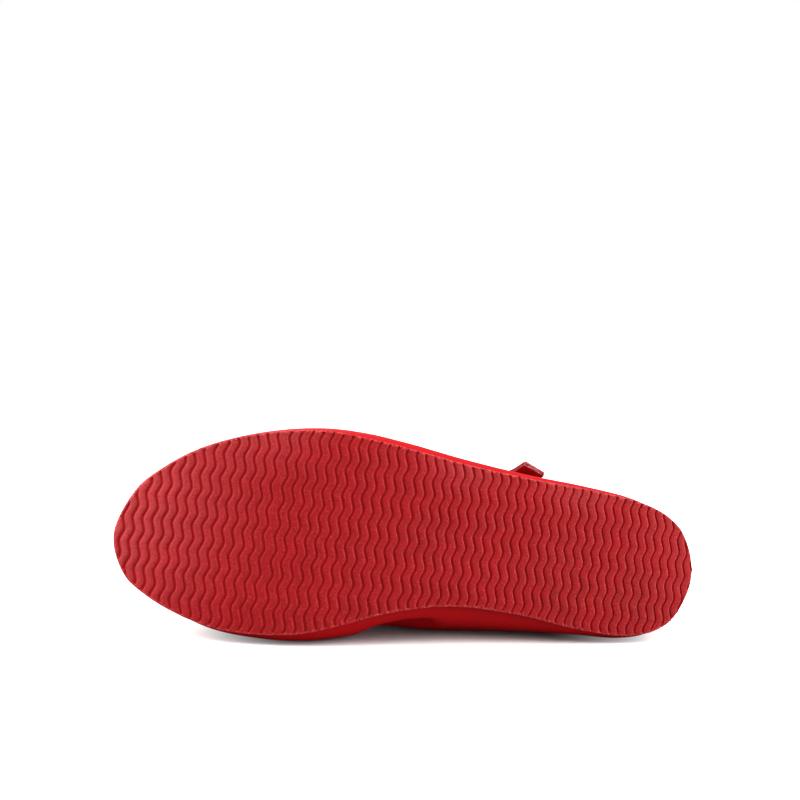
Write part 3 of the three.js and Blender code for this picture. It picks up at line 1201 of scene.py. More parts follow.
class Materials:
    """Materials of all finishes, made once."""

    def __init__(self, effects: Effects) -> None:
        """Makes every finish of the shoe.

        Args:
            effects: The shared node groups.
        """
        self.rubber = RubberFinish(
            "wave_tread_rubber", Colour(182, 14, 20), roughness=0.6, grain_size=0.7, grain_depth=0.14,
            mottle_size=9, mottle_contrast=0.35, specular=0.27,
        ).material(effects)
        self.leather = Finish(
            "red_leather", Colour(210, 16, 23), roughness=0.5, grain_size=0.8, grain_depth=0.03,
            pebble=0.6, mottle_contrast=0.16, specular=0.1,
        ).material(effects)
        self.raw_edge = FibreFinish(
            "cut_leather_edge", Colour(164, 40, 50), roughness=0.8, grain_size=0.3, grain_depth=0.12,
            mottle_contrast=0.4, fibre_colour=Colour(236, 180, 182),
        ).material(effects)
        # Painted shade: the strap's long edges are a darker red where the side light falls on them.
        self.shaded_edge = FibreFinish(
            "shaded_leather_edge", Colour(138, 18, 26), roughness=0.6, grain_size=0.3, grain_depth=0.08,
            specular=0.3, fibre_colour=Colour(178, 62, 70),
        ).material(effects)
        # Painted shade: the strap's back ply is a darker red for its shadowed underside.
        self.shaded_backing = FibreFinish(
            "shaded_strap_backing", Colour(150, 8, 16), roughness=0.8, grain_size=0.5, grain_depth=0.05,
            specular=0.2, fibre_colour=Colour(176, 36, 44),
        ).material(effects)
        self.lining = FibreFinish(
            "tan_lining", Colour(196, 150, 116), roughness=0.75, grain_size=0.5, grain_depth=0.05,
            pebble=0.3, fibre_colour=Colour(214, 172, 140),
        ).material(effects)
        self.sock = FibreFinish(
            "tan_sock", Colour(188, 140, 106), roughness=0.6, grain_size=0.7, grain_depth=0.05,
            pebble=0.7, fibre_colour=Colour(202, 158, 124),
        ).material(effects)
        self.thread = FibreFinish(
            "red_thread", Colour(198, 30, 38), roughness=0.6, grain_size=0.2, grain_depth=0.08,
            sheen=0.3, fibre_colour=Colour(226, 84, 88),
        ).material(effects)


class GeometryRule:
    """Geometry Nodes tree with named sizes that reshapes one object and is then made plain mesh."""

    def __init__(self, name: str, sizes: dict[str, float], material: bpy.types.Material) -> None:
        """Starts the tree.

        Args:
            name: Name of the tree.
            sizes: Values of the named inputs, in the units of the tree.
            material: Material set at the end.
        """
        self.sizes = sizes
        self.material = material
        kinds = {"Geometry": "NodeSocketGeometry", "Finish": "NodeSocketMaterial"}
        kinds |= {label: "NodeSocketFloat" for label in sizes}
        self.tree = new_group(name, "GeometryNodeTree", kinds, {"Geometry": "NodeSocketGeometry"})
        self.nodes = NodeBuilder(self.tree)
        self.entry = self.tree.nodes["Entry"].outputs

    def close(self, geometry: bpy.types.NodeSocket) -> None:
        """Ends the tree: instances made real, and the material set.

        Args:
            geometry: What the tree has made.
        """
        real = self.nodes.add("GeometryNodeRealizeInstances", {"Geometry": geometry}).outputs[0]
        finish = {"Geometry": real, "Material": self.entry["Finish"]}
        done = self.nodes.add("GeometryNodeSetMaterial", finish).outputs[0]
        self.nodes.link(done, self.tree.nodes["Exit"].inputs["Geometry"])

    def apply(self, piece: bpy.types.Object) -> None:
        """Runs the tree on an object and leaves its result as plain mesh.

        Args:
            piece: The object.
        """
        modifier = piece.modifiers.new(self.tree.name, "NODES")
        modifier.node_group = self.tree
        values = {**self.sizes, "Finish": self.material}
        for socket in self.tree.interface.items_tree:
            if socket.in_out == "INPUT" and socket.name in values:
                modifier[socket.identifier] = values[socket.name]
        depsgraph = bpy.context.evaluated_depsgraph_get()
        shaped = bpy.data.meshes.new_from_object(
            piece.evaluated_get(depsgraph), preserve_all_data_layers=True, depsgraph=depsgraph
        )
        piece.modifiers.clear()
        plain = piece.data
        piece.data = shaped
        bpy.data.meshes.remove(plain)
        shaped.name = piece.name


@dataclass
class Outsole:
    """Rubber outsole with wave grooves across its tread, cut to the sole's outline."""

    frame: ShoeFrame
    last: Last
    materials: Materials
    pitch: float = 4.2
    first_groove: float = 246.77
    toe_grooves: int = 3
    groove_count: int = 60
    wave_length: float = 10.31
    wave_height: float = 0.76
    wave_lean: float = 0.04
    wave_point: float = 0.03
    heel_tilt: float = 0.015
    toe_tilt: float = -0.015
    tilt_start: float = 100.0
    tilt_end: float = 235.0
    wave_centre: float = -11.88
    wide_ribs: tuple[tuple[int, float], ...] = ((13, 0.7), (26, 0.4))
    heel_run: float = 20.0
    toe_run: float = 240.0
    heel_floor: float = 0.2
    toe_floor: float = 0.42
    heel_mouth: float = 0.5
    toe_mouth: float = 0.95
    heel_depth: float = 0.75
    toe_depth: float = 0.44
    rib_crown: float = 0.4
    crown_power: float = 2.5
    edge_roll: float = 0.7
    roll_reach: float = 15.0
    # Widths and strengths of the painted rim highlight and glints on the heel-facing rib edges: strong at
    # the heel, none at the toe.
    rim_width: float = 0.55
    rub_width: float = 1.5
    heel_rim: float = 0.8
    toe_rim: float = 0.0
    edge_groove: float = 0.15
    edge_round: float = 0.3
    edge_rub: float = 0.3
    steps_per_wave: int = 12
    inner_waves: int = 5
    outer_waves: int = 6
    wall_steps: int = 3
    edge_steps: int = 1800
    sharp_degrees: float = 52.0

    def wave(self, y: np.ndarray) -> np.ndarray:
        """Shift of a groove along the sole at y.

        Args:
            y: Places across the shoe.

        Returns:
            The shifts, towards the toe.
        """
        turn = 2 * math.pi * (y - self.wave_centre) / self.wave_length
        bend = np.cos(turn) - self.wave_lean * np.sin(2 * turn) + self.wave_point * np.cos(3 * turn)
        return -self.wave_height * bend

    def tilt(self, run: float) -> float:
        """Slant of a groove against the sole's cross line at a length along the tread."""
        share = smoothstep(run, self.tilt_start, self.tilt_end)
        return self.heel_tilt + (self.toe_tilt - self.heel_tilt) * share

    @staticmethod
    def x_of_run(run: np.ndarray) -> np.ndarray:
        """Place along the shoe of a length along the curved tread."""
        turn = np.maximum(run - FLAT_END, 0) / TOE_SPRING_RADIUS
        return np.minimum(run, FLAT_END) + TOE_SPRING_RADIUS * np.sin(turn)

    @staticmethod
    def run_of_x(x: np.ndarray) -> np.ndarray:
        """Length along the curved tread of a place along the shoe."""
        past = np.maximum(x - FLAT_END, 0) / TOE_SPRING_RADIUS
        return np.minimum(x, FLAT_END) + TOE_SPRING_RADIUS * np.arcsin(past)

    def groove_runs(self) -> np.ndarray:
        """Length along the tread of each groove's middle, from the toe to the heel.

        Returns:
            The lengths.
        """
        numbers = np.arange(-self.toe_grooves, self.groove_count)
        extra = sum(width * (numbers <= number) for number, width in self.wide_ribs)
        return self.first_groove - self.pitch * numbers + extra

    def row_runs(self) -> np.ndarray:
        """Lengths along the tread of the mesh rows: close at the groove walls, wide on the ribs.

        Returns:
            The lengths.
        """
        grooves = self.groove_runs()
        ends = (self.heel_run, self.toe_run)
        floors = np.interp(grooves, ends, (self.heel_floor, self.toe_floor))
        mouths = np.interp(grooves, ends, (self.heel_mouth, self.toe_mouth))
        walls = floors[:, None] + np.outer(mouths - floors, np.linspace(0, 1, self.wall_steps + 1))
        near = np.column_stack([walls, mouths + self.rim_width])
        offsets = np.column_stack([-near, np.zeros(len(near)), near])
        ribs = (grooves[1:] + grooves[:-1]) / 2
        return np.concatenate([(grooves[:, None] + offsets).ravel(), ribs])

    def even_run(self, x: np.ndarray) -> np.ndarray:
        """Length along the tread with the wide ribs' extra taken out, so that grooves are evenly spaced.

        Args:
            x: Places along the shoe.

        Returns:
            The lengths.
        """
        run = self.run_of_x(x)
        even = np.array(run)
        for i, (number, width) in enumerate(self.wide_ribs):
            nearer_heel = sum(other for _, other in self.wide_ribs[i + 1 :])
            middle = self.first_groove - self.pitch * (number + 0.5) + nearer_heel + width / 2
            even -= width * np.clip((run - middle) / width + 0.5, 0, 1)
        return even

    def ring(self, inset: float, rise: float) -> np.ndarray:
        """Closed ring along the sole's edge, against the clock seen from above.

        Args:
            inset: Distance inside the sole's edge.
            rise: Height above the tread.

        Returns:
            Points of the ring.
        """
        shares = 1 - np.arange(self.edge_steps) / self.edge_steps
        insets = inset - self.burr_height(shares)
        edge = self.last.sole_edge
        ring = np.array([self.last.inset_at(edge, share, depth) for share, depth in zip(shares, insets)])
        return ring + [0, 0, rise] + np.outer(self.last.sole_bottom(ring[:, 0]), [0, 0, 1])

    @staticmethod
    def burr_height(shares: np.ndarray) -> np.ndarray:
        """How far the crumbs on the cut edge stand out at shares of the outline.

        Args:
            shares: Shares of the outline.

        Returns:
            The heights.
        """
        height = np.zeros_like(shares)
        for burr in HEEL_BURRS:
            height += burr.height * np.exp(-(((shares - burr.share) / burr.half_width) ** 2))
        return height

    @staticmethod
    def inside(x: np.ndarray, y: np.ndarray, border: np.ndarray) -> np.ndarray:
        """Which points lie within a ring whose sides are single valued along x.

        Args:
            x: Places along the shoe.
            y: Places across it.
            border: The ring, from the heel end along the inner side.

        Returns:
            True for each point within the ring.
        """
        half = len(border) // 2
        inner, outer = border[: half + 1], np.vstack([border[half:], border[:1]])[::-1]
        low = np.interp(x, inner[:, 0], inner[:, 1])
        high = np.interp(x, outer[:, 0], outer[:, 1])
        return (y > low) & (y < high) & (x > border[0, 0]) & (x < border[half, 0])

    def tread_plan(self, border: np.ndarray) -> tuple[np.ndarray, list[tuple[int, ...]], list[int]]:
        """Triangles of the tread within a ring, with edges along the grooves.

        Args:
            border: Ring that bounds the tread.

        Returns:
            Plan points, triangles that face down, and the numbers of the ring's points.
        """
        limit = self.ring(2 * self.edge_round, 0.0)
        points = [Vector(p[:2]) for p in border]
        edges = []
        step = self.wave_length / self.steps_per_wave
        counts = np.arange(-self.inner_waves * self.steps_per_wave, self.outer_waves * self.steps_per_wave)
        columns = self.wave_centre + step * counts
        for run in self.row_runs():
            x = self.x_of_run(run + self.wave(columns) + self.tilt(run) * columns)
            kept = self.inside(x, columns, limit)
            for i in np.flatnonzero(kept):
                if i and kept[i - 1]:
                    edges.append((len(points) - 1, len(points)))
                points.append(Vector((x[i], columns[i])))
        face = list(range(len(border)))
        plan, _, triangles, origins, _, _ = delaunay_2d_cdt(points, edges, [face], 1, PLAN_TOLERANCE)
        number_of = {source: k for k, sources in enumerate(origins) for source in sources}
        flipped = [tuple(reversed(triangle)) for triangle in triangles]
        return np.array([tuple(p) for p in plan]), flipped, [number_of[i] for i in face]

    def rolled(self, plan: np.ndarray) -> np.ndarray:
        """How far the tread draws back from its middle plane towards the sole's edge at plan points.

        Args:
            plan: Points of the tread in plan.

        Returns:
            One distance for each point.
        """
        edge = self.ring(self.edge_round, 0.0)
        tree = KDTree(len(edge))
        for k, point in enumerate(edge):
            tree.insert((point[0], point[1], 0.0), k)
        tree.balance()
        away = np.array([tree.find((x, y, 0.0))[2] for x, y in plan])
        return self.edge_roll * np.clip(1 - away / self.roll_reach, 0, 1) ** 2

    def mesh(self) -> MeshData:
        """Smooth slab with rows of points along the grooves that are to come.

        Returns:
            The closed mesh, with the values that the groove tree reads.
        """
        tread_border = self.ring(self.edge_round, 0.0)
        plan, faces, low = self.tread_plan(tread_border)
        tread = np.column_stack([plan, self.last.sole_bottom(plan[:, 0]) + self.rolled(plan)])
        rings = [
            self.ring(0.0, self.edge_round + self.edge_roll),
            self.ring(0.0, self.edge_round + self.edge_rub + self.edge_roll),
            self.ring(0.0, SOLE_THICKNESS - self.edge_round),
            self.ring(self.edge_round, SOLE_THICKNESS),
        ]
        points = np.vstack([tread, *rings])
        border = np.zeros(len(points))
        border[self.border_numbers(plan, tread_border)] = 1.0
        border[len(tread) : len(tread) + self.edge_steps] = 1.0
        grooved = np.zeros(len(points))
        grooved[: len(tread)] = 1.0
        grooved[border > 0] = self.edge_groove
        for k in range(len(rings)):
            start = len(tread) + k * self.edge_steps
            high = list(range(start, start + self.edge_steps))
            faces += ring_faces(low, high)
            low = high
        faces += cap_faces(low)
        values = {
            "even_run": self.even_run(points[:, 0]),
            "across": points[:, 1],
            "inward": self.frame.direct(self.last.sole_up(points[:, 0])),
            "grooved": grooved,
            "cut_edge": border,
        }
        return MeshData(points, faces, values=values)

    @staticmethod
    def border_numbers(plan: np.ndarray, border: np.ndarray) -> list[int]:
        """Numbers of the tread's points that lie on its border.

        Args:
            plan: Points of the tread in plan.
            border: Ring that bounds the tread.

        Returns:
            The numbers.
        """
        on_border = {tuple(p) for p in np.round(border[:, :2], WELD_DECIMALS)}
        rounded = np.round(plan, WELD_DECIMALS)
        return [i for i, p in enumerate(rounded) if tuple(p) in on_border]

    def groove_rule(self) -> GeometryRule:
        """Tree that presses the wave grooves into the tread and marks the grooves and the heel-facing rib
        edges that get painted highlight.

        Returns:
            The rule, ready to apply.
        """
        sizes = {label: getattr(self, label) for label in GROOVE_SIZES}
        sizes |= {label: getattr(self, label) * MM for label in GROOVE_DEPTHS}
        sizes = {label.replace("_", " ").title(): size for label, size in sizes.items()}
        rule = GeometryRule("Wave grooves", sizes, self.materials.rubber)
        nodes, entry = rule.nodes, rule.entry

        def stored(label: str, kind: str = "FLOAT") -> bpy.types.NodeSocket:
            """Named value on the mesh's points."""
            return nodes.add("GeometryNodeInputNamedAttribute", {"Name": label}, data_type=kind).outputs[0]

        def by_place(
            label: str, start: str = "Heel Run", end: str = "Toe Run", kind: str = "LINEAR"
        ) -> bpy.types.NodeSocket:
            """Size that goes from its heel value to its toe value along the tread.

            Args:
                label: Name of the size, after Heel or Toe.
                start: Name of the input at which it leaves its heel value.
                end: Name of the input at which it reaches its toe value.
                kind: How it goes between them.

            Returns:
                The size.
            """
            ends = {"Value": stored("even_run"), "From Min": entry[start], "From Max": entry[end]}
            ends |= {"To Min": entry[f"Heel {label}"], "To Max": entry[f"Toe {label}"]}
            return nodes.add("ShaderNodeMapRange", ends, interpolation_type=kind).outputs[0]

        mouth = by_place("Mouth")
        lengths = nodes.math("SUBTRACT", stored("across"), entry["Wave Centre"])
        turn = nodes.math("MULTIPLY", nodes.math("DIVIDE", lengths, entry["Wave Length"]), 2 * math.pi)
        second = nodes.math("SINE", nodes.math("MULTIPLY", turn, 2.0))
        third = nodes.math("COSINE", nodes.math("MULTIPLY", turn, 3.0))
        pointed = nodes.math("MULTIPLY", third, entry["Wave Point"])
        bend = nodes.math("ADD", nodes.math("COSINE", turn), pointed)
        bend = nodes.math("SUBTRACT", bend, nodes.math("MULTIPLY", second, entry["Wave Lean"]))
        straight = nodes.math("ADD", stored("even_run"), nodes.math("MULTIPLY", bend, entry["Wave Height"]))
        tilt = by_place("Tilt", "Tilt Start", "Tilt End", "SMOOTHSTEP")
        straight = nodes.math("SUBTRACT", straight, nodes.math("MULTIPLY", tilt, stored("across")))
        from_first = nodes.math("SUBTRACT", entry["First Groove"], straight)
        count = nodes.math("DIVIDE", from_first, entry["Pitch"])
        side = nodes.math("SUBTRACT", count, nodes.math("ROUND", count))
        off = nodes.math("ABSOLUTE", side)
        away = nodes.math("MULTIPLY", off, entry["Pitch"])
        groove = nodes.ramp(away, by_place("Floor"), mouth, 1.0, 0.0)
        to_edge = nodes.math("SUBTRACT", 1.0, nodes.math("MULTIPLY", off, 2.0))
        rounding = nodes.math("POWER", to_edge, entry["Crown Power"])
        crown = nodes.math("MULTIPLY", rounding, entry["Rib Crown"])
        depth = nodes.math("ADD", nodes.math("MULTIPLY", groove, by_place("Depth")), crown)
        pressed = nodes.math("MULTIPLY", depth, stored("grooved"))
        move = {0: stored("inward", "FLOAT_VECTOR"), "Scale": pressed}
        offset = nodes.add("ShaderNodeVectorMath", move, operation="SCALE").outputs["Vector"]
        shape = {"Geometry": entry["Geometry"], "Offset": offset}
        geometry = nodes.add("GeometryNodeSetPosition", shape).outputs[0]
        # Heel-facing rib edges, which carry the painted rim highlight and glints.
        heelward = nodes.math("MULTIPLY", nodes.math("LESS_THAN", side, 0.0), by_place("Rim"))
        heelward = nodes.math("MULTIPLY", heelward, nodes.math("SUBTRACT", 1.0, groove))
        marks = {"groove": nodes.math("MULTIPLY", groove, stored("grooved"))}
        for label in ("Rim", "Rub"):
            reach = nodes.math("ADD", mouth, entry[f"{label} Width"])
            beside = nodes.ramp(away, mouth, reach, 1.0, 0.0)
            marks[label.lower()] = nodes.math("MULTIPLY", beside, heelward)
        for label, value in marks.items():
            keep = {"Geometry": geometry, "Name": label, "Value": value}
            geometry = nodes.add("GeometryNodeStoreNamedAttribute", keep, data_type="FLOAT").outputs[0]
        rule.close(geometry)
        return rule

    def build(self) -> None:
        """Makes the outsole and lets it stand for its solid."""
        piece = make_piece("outsole_wave_tread", self.mesh(), self.frame, [self.materials.rubber])
        self.groove_rule().apply(piece)
        piece.data.set_sharp_from_angle(angle=math.radians(self.sharp_degrees))
        stand_in(piece, "outsole")


@dataclass
class StitchRow:
    """Row of lockstitches along a path, half sunk in the leather."""

    frame: ShoeFrame
    materials: Materials
    spacing: float = 3.0
    length: float = 2.3
    width: float = 0.55
    segments: int = 8
    rings: int = 6

    def build(self, name: str, path: np.ndarray, closed: bool, node: str) -> None:
        """Makes one row of stitches.

        Args:
            name: Name of the piece.
            path: Points along the row, in shoe millimetres.
            closed: Whether the row runs round.
            node: CAD node that the row belongs to.
        """
        data = bpy.data.meshes.new(name)
        edges = [(i, i + 1) for i in range(len(path) - 1)]
        if closed:
            edges.append((len(path) - 1, 0))
        data.from_pydata(self.frame.place(path).tolist(), edges, [])
        piece = linked(name, data)
        self.rule().apply(piece)
        stand_in(piece, node)

    def rule(self) -> GeometryRule:
        """Tree that sets a stitch at even steps along a path, turned to its run.

        Returns:
            The rule, ready to apply.
        """
        sizes = {"Spacing": self.spacing, "Half Length": self.length / 2, "Half Width": self.width / 2}
        sizes = {label: size * MM for label, size in sizes.items()}
        rule = GeometryRule("Stitch row", sizes, self.materials.thread)
        nodes, entry = rule.nodes, rule.entry
        curve = nodes.add("GeometryNodeMeshToCurve", {"Mesh": entry["Geometry"]}).outputs[0]
        steps = {"Curve": curve, "Length": entry["Spacing"]}
        spaced = nodes.add("GeometryNodeResampleCurve", steps, mode="LENGTH").outputs[0]
        round_form = {"Segments": self.segments, "Rings": self.rings, "Radius": 1.0}
        ball = nodes.add("GeometryNodeMeshUVSphere", round_form).outputs["Mesh"]
        smooth = nodes.add("GeometryNodeSetShadeSmooth", {"Geometry": ball}).outputs[0]
        tangent = nodes.add("GeometryNodeInputTangent").outputs[0]
        turned = nodes.add("FunctionNodeAlignRotationToVector", {"Vector": tangent}, axis="X").outputs[0]
        half = {"X": entry["Half Length"], "Y": entry["Half Width"], "Z": entry["Half Width"]}
        scale = nodes.add("ShaderNodeCombineXYZ", half).outputs[0]
        placed = {"Points": spaced, "Instance": smooth, "Rotation": turned, "Scale": scale}
        rule.close(nodes.add("GeometryNodeInstanceOnPoints", placed).outputs[0])
        return rule


@dataclass
class Upper:
    """Leather upper with its lining, open at the collar and throat and underneath."""

    frame: ShoeFrame
    last: Last
    materials: Materials
    steps: SectionSteps = SectionSteps()
    leather: float = 1.2
    ply_gap: float = 0.05
    lining_drop: float = 2.6
    stitch_margin: float = 2.4
    rim_steps: int = 6
    rim_bulge: float = 1.0
    seam_depth: float = 0.3
    seam_width: float = 1.0
    seam_reach: float = 12.0
    crease_foot: float = 20.0

    def surface(self, margin: float) -> MeshData:
        """Outer face of the upper, stopped short of its top edge by a margin.

        Args:
            margin: Distance from the true top edge.

        Returns:
            The open surface with its creases and back seam pressed in.
        """
        stations = self.last.stations(self.steps, margin)
        outer = [self.last.section(s, Side.OUTER, self.steps, margin) for s in stations]
        inner = [self.last.section(s, Side.INNER, self.steps, margin) for s in stations]
        mesh = grid_mesh([*reversed(outer), *inner[1:]])
        above_foot = np.clip((mesh.points[:, 2] - self.crease_foot) / self.crease_foot, 0, 1)
        depth = trough_depth(mesh.points, VAMP_CREASES) * above_foot
        depth += self.seam_trough(mesh.points) + trough_depth(mesh.points, WAIST_FOLDS)
        mesh.points = mesh.points - point_normals(mesh) * depth[:, None]
        return mesh

    def seam_trough(self, points: np.ndarray) -> np.ndarray:
        """Depth of the closed seam up the middle of the heel at each point.

        Args:
            points: Points of the upper.

        Returns:
            One depth for each point.
        """
        away = (points[:, 1] - HEEL_END_Y) / self.seam_width
        at_heel = np.clip(1 - points[:, 0] / self.seam_reach, 0, 1)
        return self.seam_depth * at_heel * np.exp(-(away**2))

    def topline(self, margin: float) -> np.ndarray:
        """Points round the opening, a margin below its edge.

        Args:
            margin: Distance below the edge.

        Returns:
            The points in order.
        """
        throat = self.last.station_at(THROAT_X + margin)
        stations = [s for s in self.last.stations(self.steps, margin) if s <= throat + STATION_ROUNDING]
        outer = [self.last.section(s, Side.OUTER, self.steps, margin)[-1] for s in stations]
        inner = [self.last.section(s, Side.INNER, self.steps, margin)[-1] for s in stations]
        return np.array([*reversed(outer), *inner[1:-1]])

    def build(self) -> None:
        """Makes the shell, its lining and the topline stitches."""
        shell = wall_mesh(self.surface(0.0), 0.0, self.leather, self.rim_steps, self.rim_bulge)
        piece = make_piece("upper_shell", shell, self.frame, [self.materials.leather])
        stand_in(piece, "upper")
        ply = self.leather + self.ply_gap
        lining = wall_mesh(self.surface(self.lining_drop), ply, UPPER_WALL, self.rim_steps, self.rim_bulge)
        piece = make_piece("upper_lining", lining, self.frame, [self.materials.lining])
        stand_in(piece, "upper")
        row = StitchRow(self.frame, self.materials)
        row.build("topline_stitches", self.topline(self.stitch_margin), True, "upper")


@dataclass
class Insole:
    """Sock on its board, with a rounded upper edge."""

    frame: ShoeFrame
    last: Last
    materials: Materials
    edge_round: float = 1.0
    round_steps: int = 5
    edge_steps: int = 720
    sharp_degrees: float = 50.0

    def ring(self, inset: float, rise: float) -> np.ndarray:
        """Closed ring inside the upper's wall, against the clock seen from above.

        Args:
            inset: Distance inside the insole's edge.
            rise: Height above the sole's top.

        Returns:
            Points of the ring.
        """
        ring = []
        for share in 1 - np.arange(self.edge_steps) / self.edge_steps:
            feather = self.last.inset_at(self.last.sole_edge, share, FEATHER_INSET)
            overhang = np.linalg.norm(feather - self.last.widest_line.at(share))
            wall = max(UPPER_WALL - overhang * INSOLE_OVERHANG_SHARE, 0) + INSOLE_CLEARANCE
            point = self.last.inset_at(self.last.sole_edge, share, FEATHER_INSET + wall + inset)
            point[2] = self.last.sole_bottom(point[0]) + SOLE_THICKNESS + FIT_GAP + rise
            ring.append(point)
        return np.array(ring)

    def build(self) -> None:
        """Makes the insole and lets it stand for its solid."""
        turns = np.linspace(0, math.pi / 2, self.round_steps)
        rings = [self.ring(0.0, 0.0)]
        for turn in turns:
            rise = INSOLE_THICKNESS - self.edge_round * (1 - math.sin(turn))
            rings.append(self.ring(self.edge_round * (1 - math.cos(turn)), rise))
        numbers = np.arange(len(rings) * self.edge_steps).reshape(len(rings), -1).tolist()
        faces = [tuple(reversed(face)) for face in cap_faces(numbers[0])]
        for low, high in zip(numbers, numbers[1:]):
            faces += ring_faces(low, high)
        faces += cap_faces(numbers[-1])
        mesh = MeshData(np.vstack(rings), faces)
        piece = make_piece("insole_sock", mesh, self.frame, [self.materials.sock])
        piece.data.set_sharp_from_angle(angle=math.radians(self.sharp_degrees))
        stand_in(piece, "insole")


@dataclass
class Strap:
    """Instep strap with cut edges, sewn inside the inner quarter and loose at its outer end."""

    frame: ShoeFrame
    materials: Materials
    width: float = 12.0
    thickness: float = 2.2
    ply_gap: float = 0.04
    crown: float = 0.12
    edge_bulge: float = 0.25
    stitch_inset: float = 1.9
    front_corner: float = 0.6
    rear_corner: float = 0.8
    corner_lift: float = 0.2
    lift_reach: float = 3.0
    end_depth: float = 0.5
    length_steps: int = 150
    corner_steps: int = 10
    width_steps: int = 14
    rim_steps: int = 6
    end_stitch_steps: int = 9
    sharp_degrees: float = 50.0

    def reach(self, to_end: float, radius: float) -> float:
        """Half width at a distance from the cut end, whose corner has a radius."""
        return self.width / 2 - radius + math.sqrt(radius**2 - max(radius - to_end, 0.0) ** 2)

    def place_at(self, path: RoundCurve, share: float, across: float, lift: float = 0.0) -> np.ndarray:
        """Point on the strap's outer face.

        Args:
            path: Middle line of the strap.
            share: Share of the strap's length.
            across: Place across the strap, from -0.5 at the rear edge to 0.5 at the front edge.
            lift: Height by which the front corner of the cut end curls up.

        Returns:
            The point.
        """
        leans = [StrapRow(i, 0, 0, row.lean) for i, row in enumerate(STRAP_ROWS)]
        run = path.tangent(share)
        forward = np.array([1.0, 0.0, 0.0])
        side = unit(forward - run * (forward @ run))
        lean = math.radians(along(leans, "lean", share * (len(STRAP_ROWS) - 1)))
        side = side * math.cos(lean) + np.cross(run, side) * math.sin(lean)
        outward = np.cross(side, run)
        to_end = float(np.linalg.norm(path.at(1.0) - path.at(share)))
        off = 2 * across * self.reach(to_end, self.front_corner if across > 0 else self.rear_corner)
        to_corner = math.hypot(to_end, self.width / 2 - off) / self.lift_reach
        height = self.thickness / 2 - self.crown * (2 * across) ** 2 + lift * math.exp(-(to_corner**2))
        return path.at(share) + outward * height + side * off

    def face(self, path: RoundCurve, shares: np.ndarray, lift: float) -> MeshData:
        """Outer face of the strap, with a column of points at each share of its length."""
        acrosses = np.linspace(0.5, -0.5, self.width_steps + 1)
        return grid_mesh([np.array([self.place_at(path, s, a, lift) for a in acrosses]) for s in shares])

    def mark_end(self, mesh: MeshData, path: RoundCurve) -> None:
        """Marks the rim's faces at the cut end, which keeps the raw edge colour, paler than the painted
        shade on the long edges.

        Args:
            mesh: Wall of one ply.
            path: Middle line of the strap.
        """
        end, run = path.at(1.0), path.tangent(1.0)
        for i, (face, part) in enumerate(zip(mesh.faces, mesh.parts)):
            centre = mesh.points[list(face)].mean(axis=0)
            if part is Wall.RIM and (centre - end) @ run > -self.end_depth:
                mesh.parts[i] = Wall.END

    def build(self) -> None:
        """Makes the strap and its stitches."""
        path = RoundCurve(np.array([(row.x, row.y, row.z) for row in STRAP_ROWS]), False)
        last_span = float(np.linalg.norm(path.points[-1] - path.points[-2]))
        corner_share = self.rear_corner / last_span / (len(path.points) - 1)
        turns = np.linspace(0, math.pi / 2, self.corner_steps)
        straight = np.linspace(0, 1 - corner_share, self.length_steps, endpoint=False)
        shares = np.concatenate([straight, 1 - corner_share * (1 - np.sin(turns))])
        made = self.materials
        half = self.thickness / 2
        plies = (
            ("strap_face_ply", 0.0, half - self.ply_gap, self.corner_lift, [made.leather, made.raw_edge]),
            # Back ply all in painted shade, a darker red for the shadowed underside.
            ("strap_back_ply", half + self.ply_gap, self.thickness, 0.0, [made.shaded_backing, made.shaded_backing]),
        )
        for name, front, back, lift, faces in plies:
            mesh = wall_mesh(self.face(path, shares, lift), front, back, self.rim_steps, self.edge_bulge)
            self.mark_end(mesh, path)
            # Long edges get painted shade; the cut end keeps the raw edge colour.
            piece = make_piece(name, mesh, self.frame, [*faces, made.shaded_edge, made.raw_edge])
            piece.data.set_sharp_from_angle(angle=math.radians(self.sharp_degrees))
            stand_in(piece, "strap")
        edge = 0.5 - self.stitch_inset / self.width
        end = 1 - self.stitch_inset / (self.width * len(STRAP_ROWS))
        sides = shares[shares <= end]
        path_points = [self.place_at(path, s, edge) for s in sides]
        acrosses = np.linspace(edge, -edge, self.end_stitch_steps)
        path_points += [self.place_at(path, end, across) for across in acrosses]
        path_points += [self.place_at(path, s, -edge) for s in sides[::-1]]
        StitchRow(self.frame, self.materials).build("strap_stitches", np.array(path_points), False, "strap")


@dataclass(frozen=True)
class SoftLight:
    """Square soft light that looks at the shoe, in the part's metres."""

    name: str
    place: tuple[float, float, float]
    size: float
    power: float

    def build(self) -> None:
        """Makes the light."""
        data = bpy.data.lights.new(self.name, "AREA")
        data.shape = "SQUARE"
        data.size = self.size
        data.energy = self.power
        light = linked(self.name, data)
        light.location = self.place
        light.rotation_mode = "QUATERNION"
        light.rotation_quaternion = (-Vector(self.place)).to_track_quat("-Z", "Y")


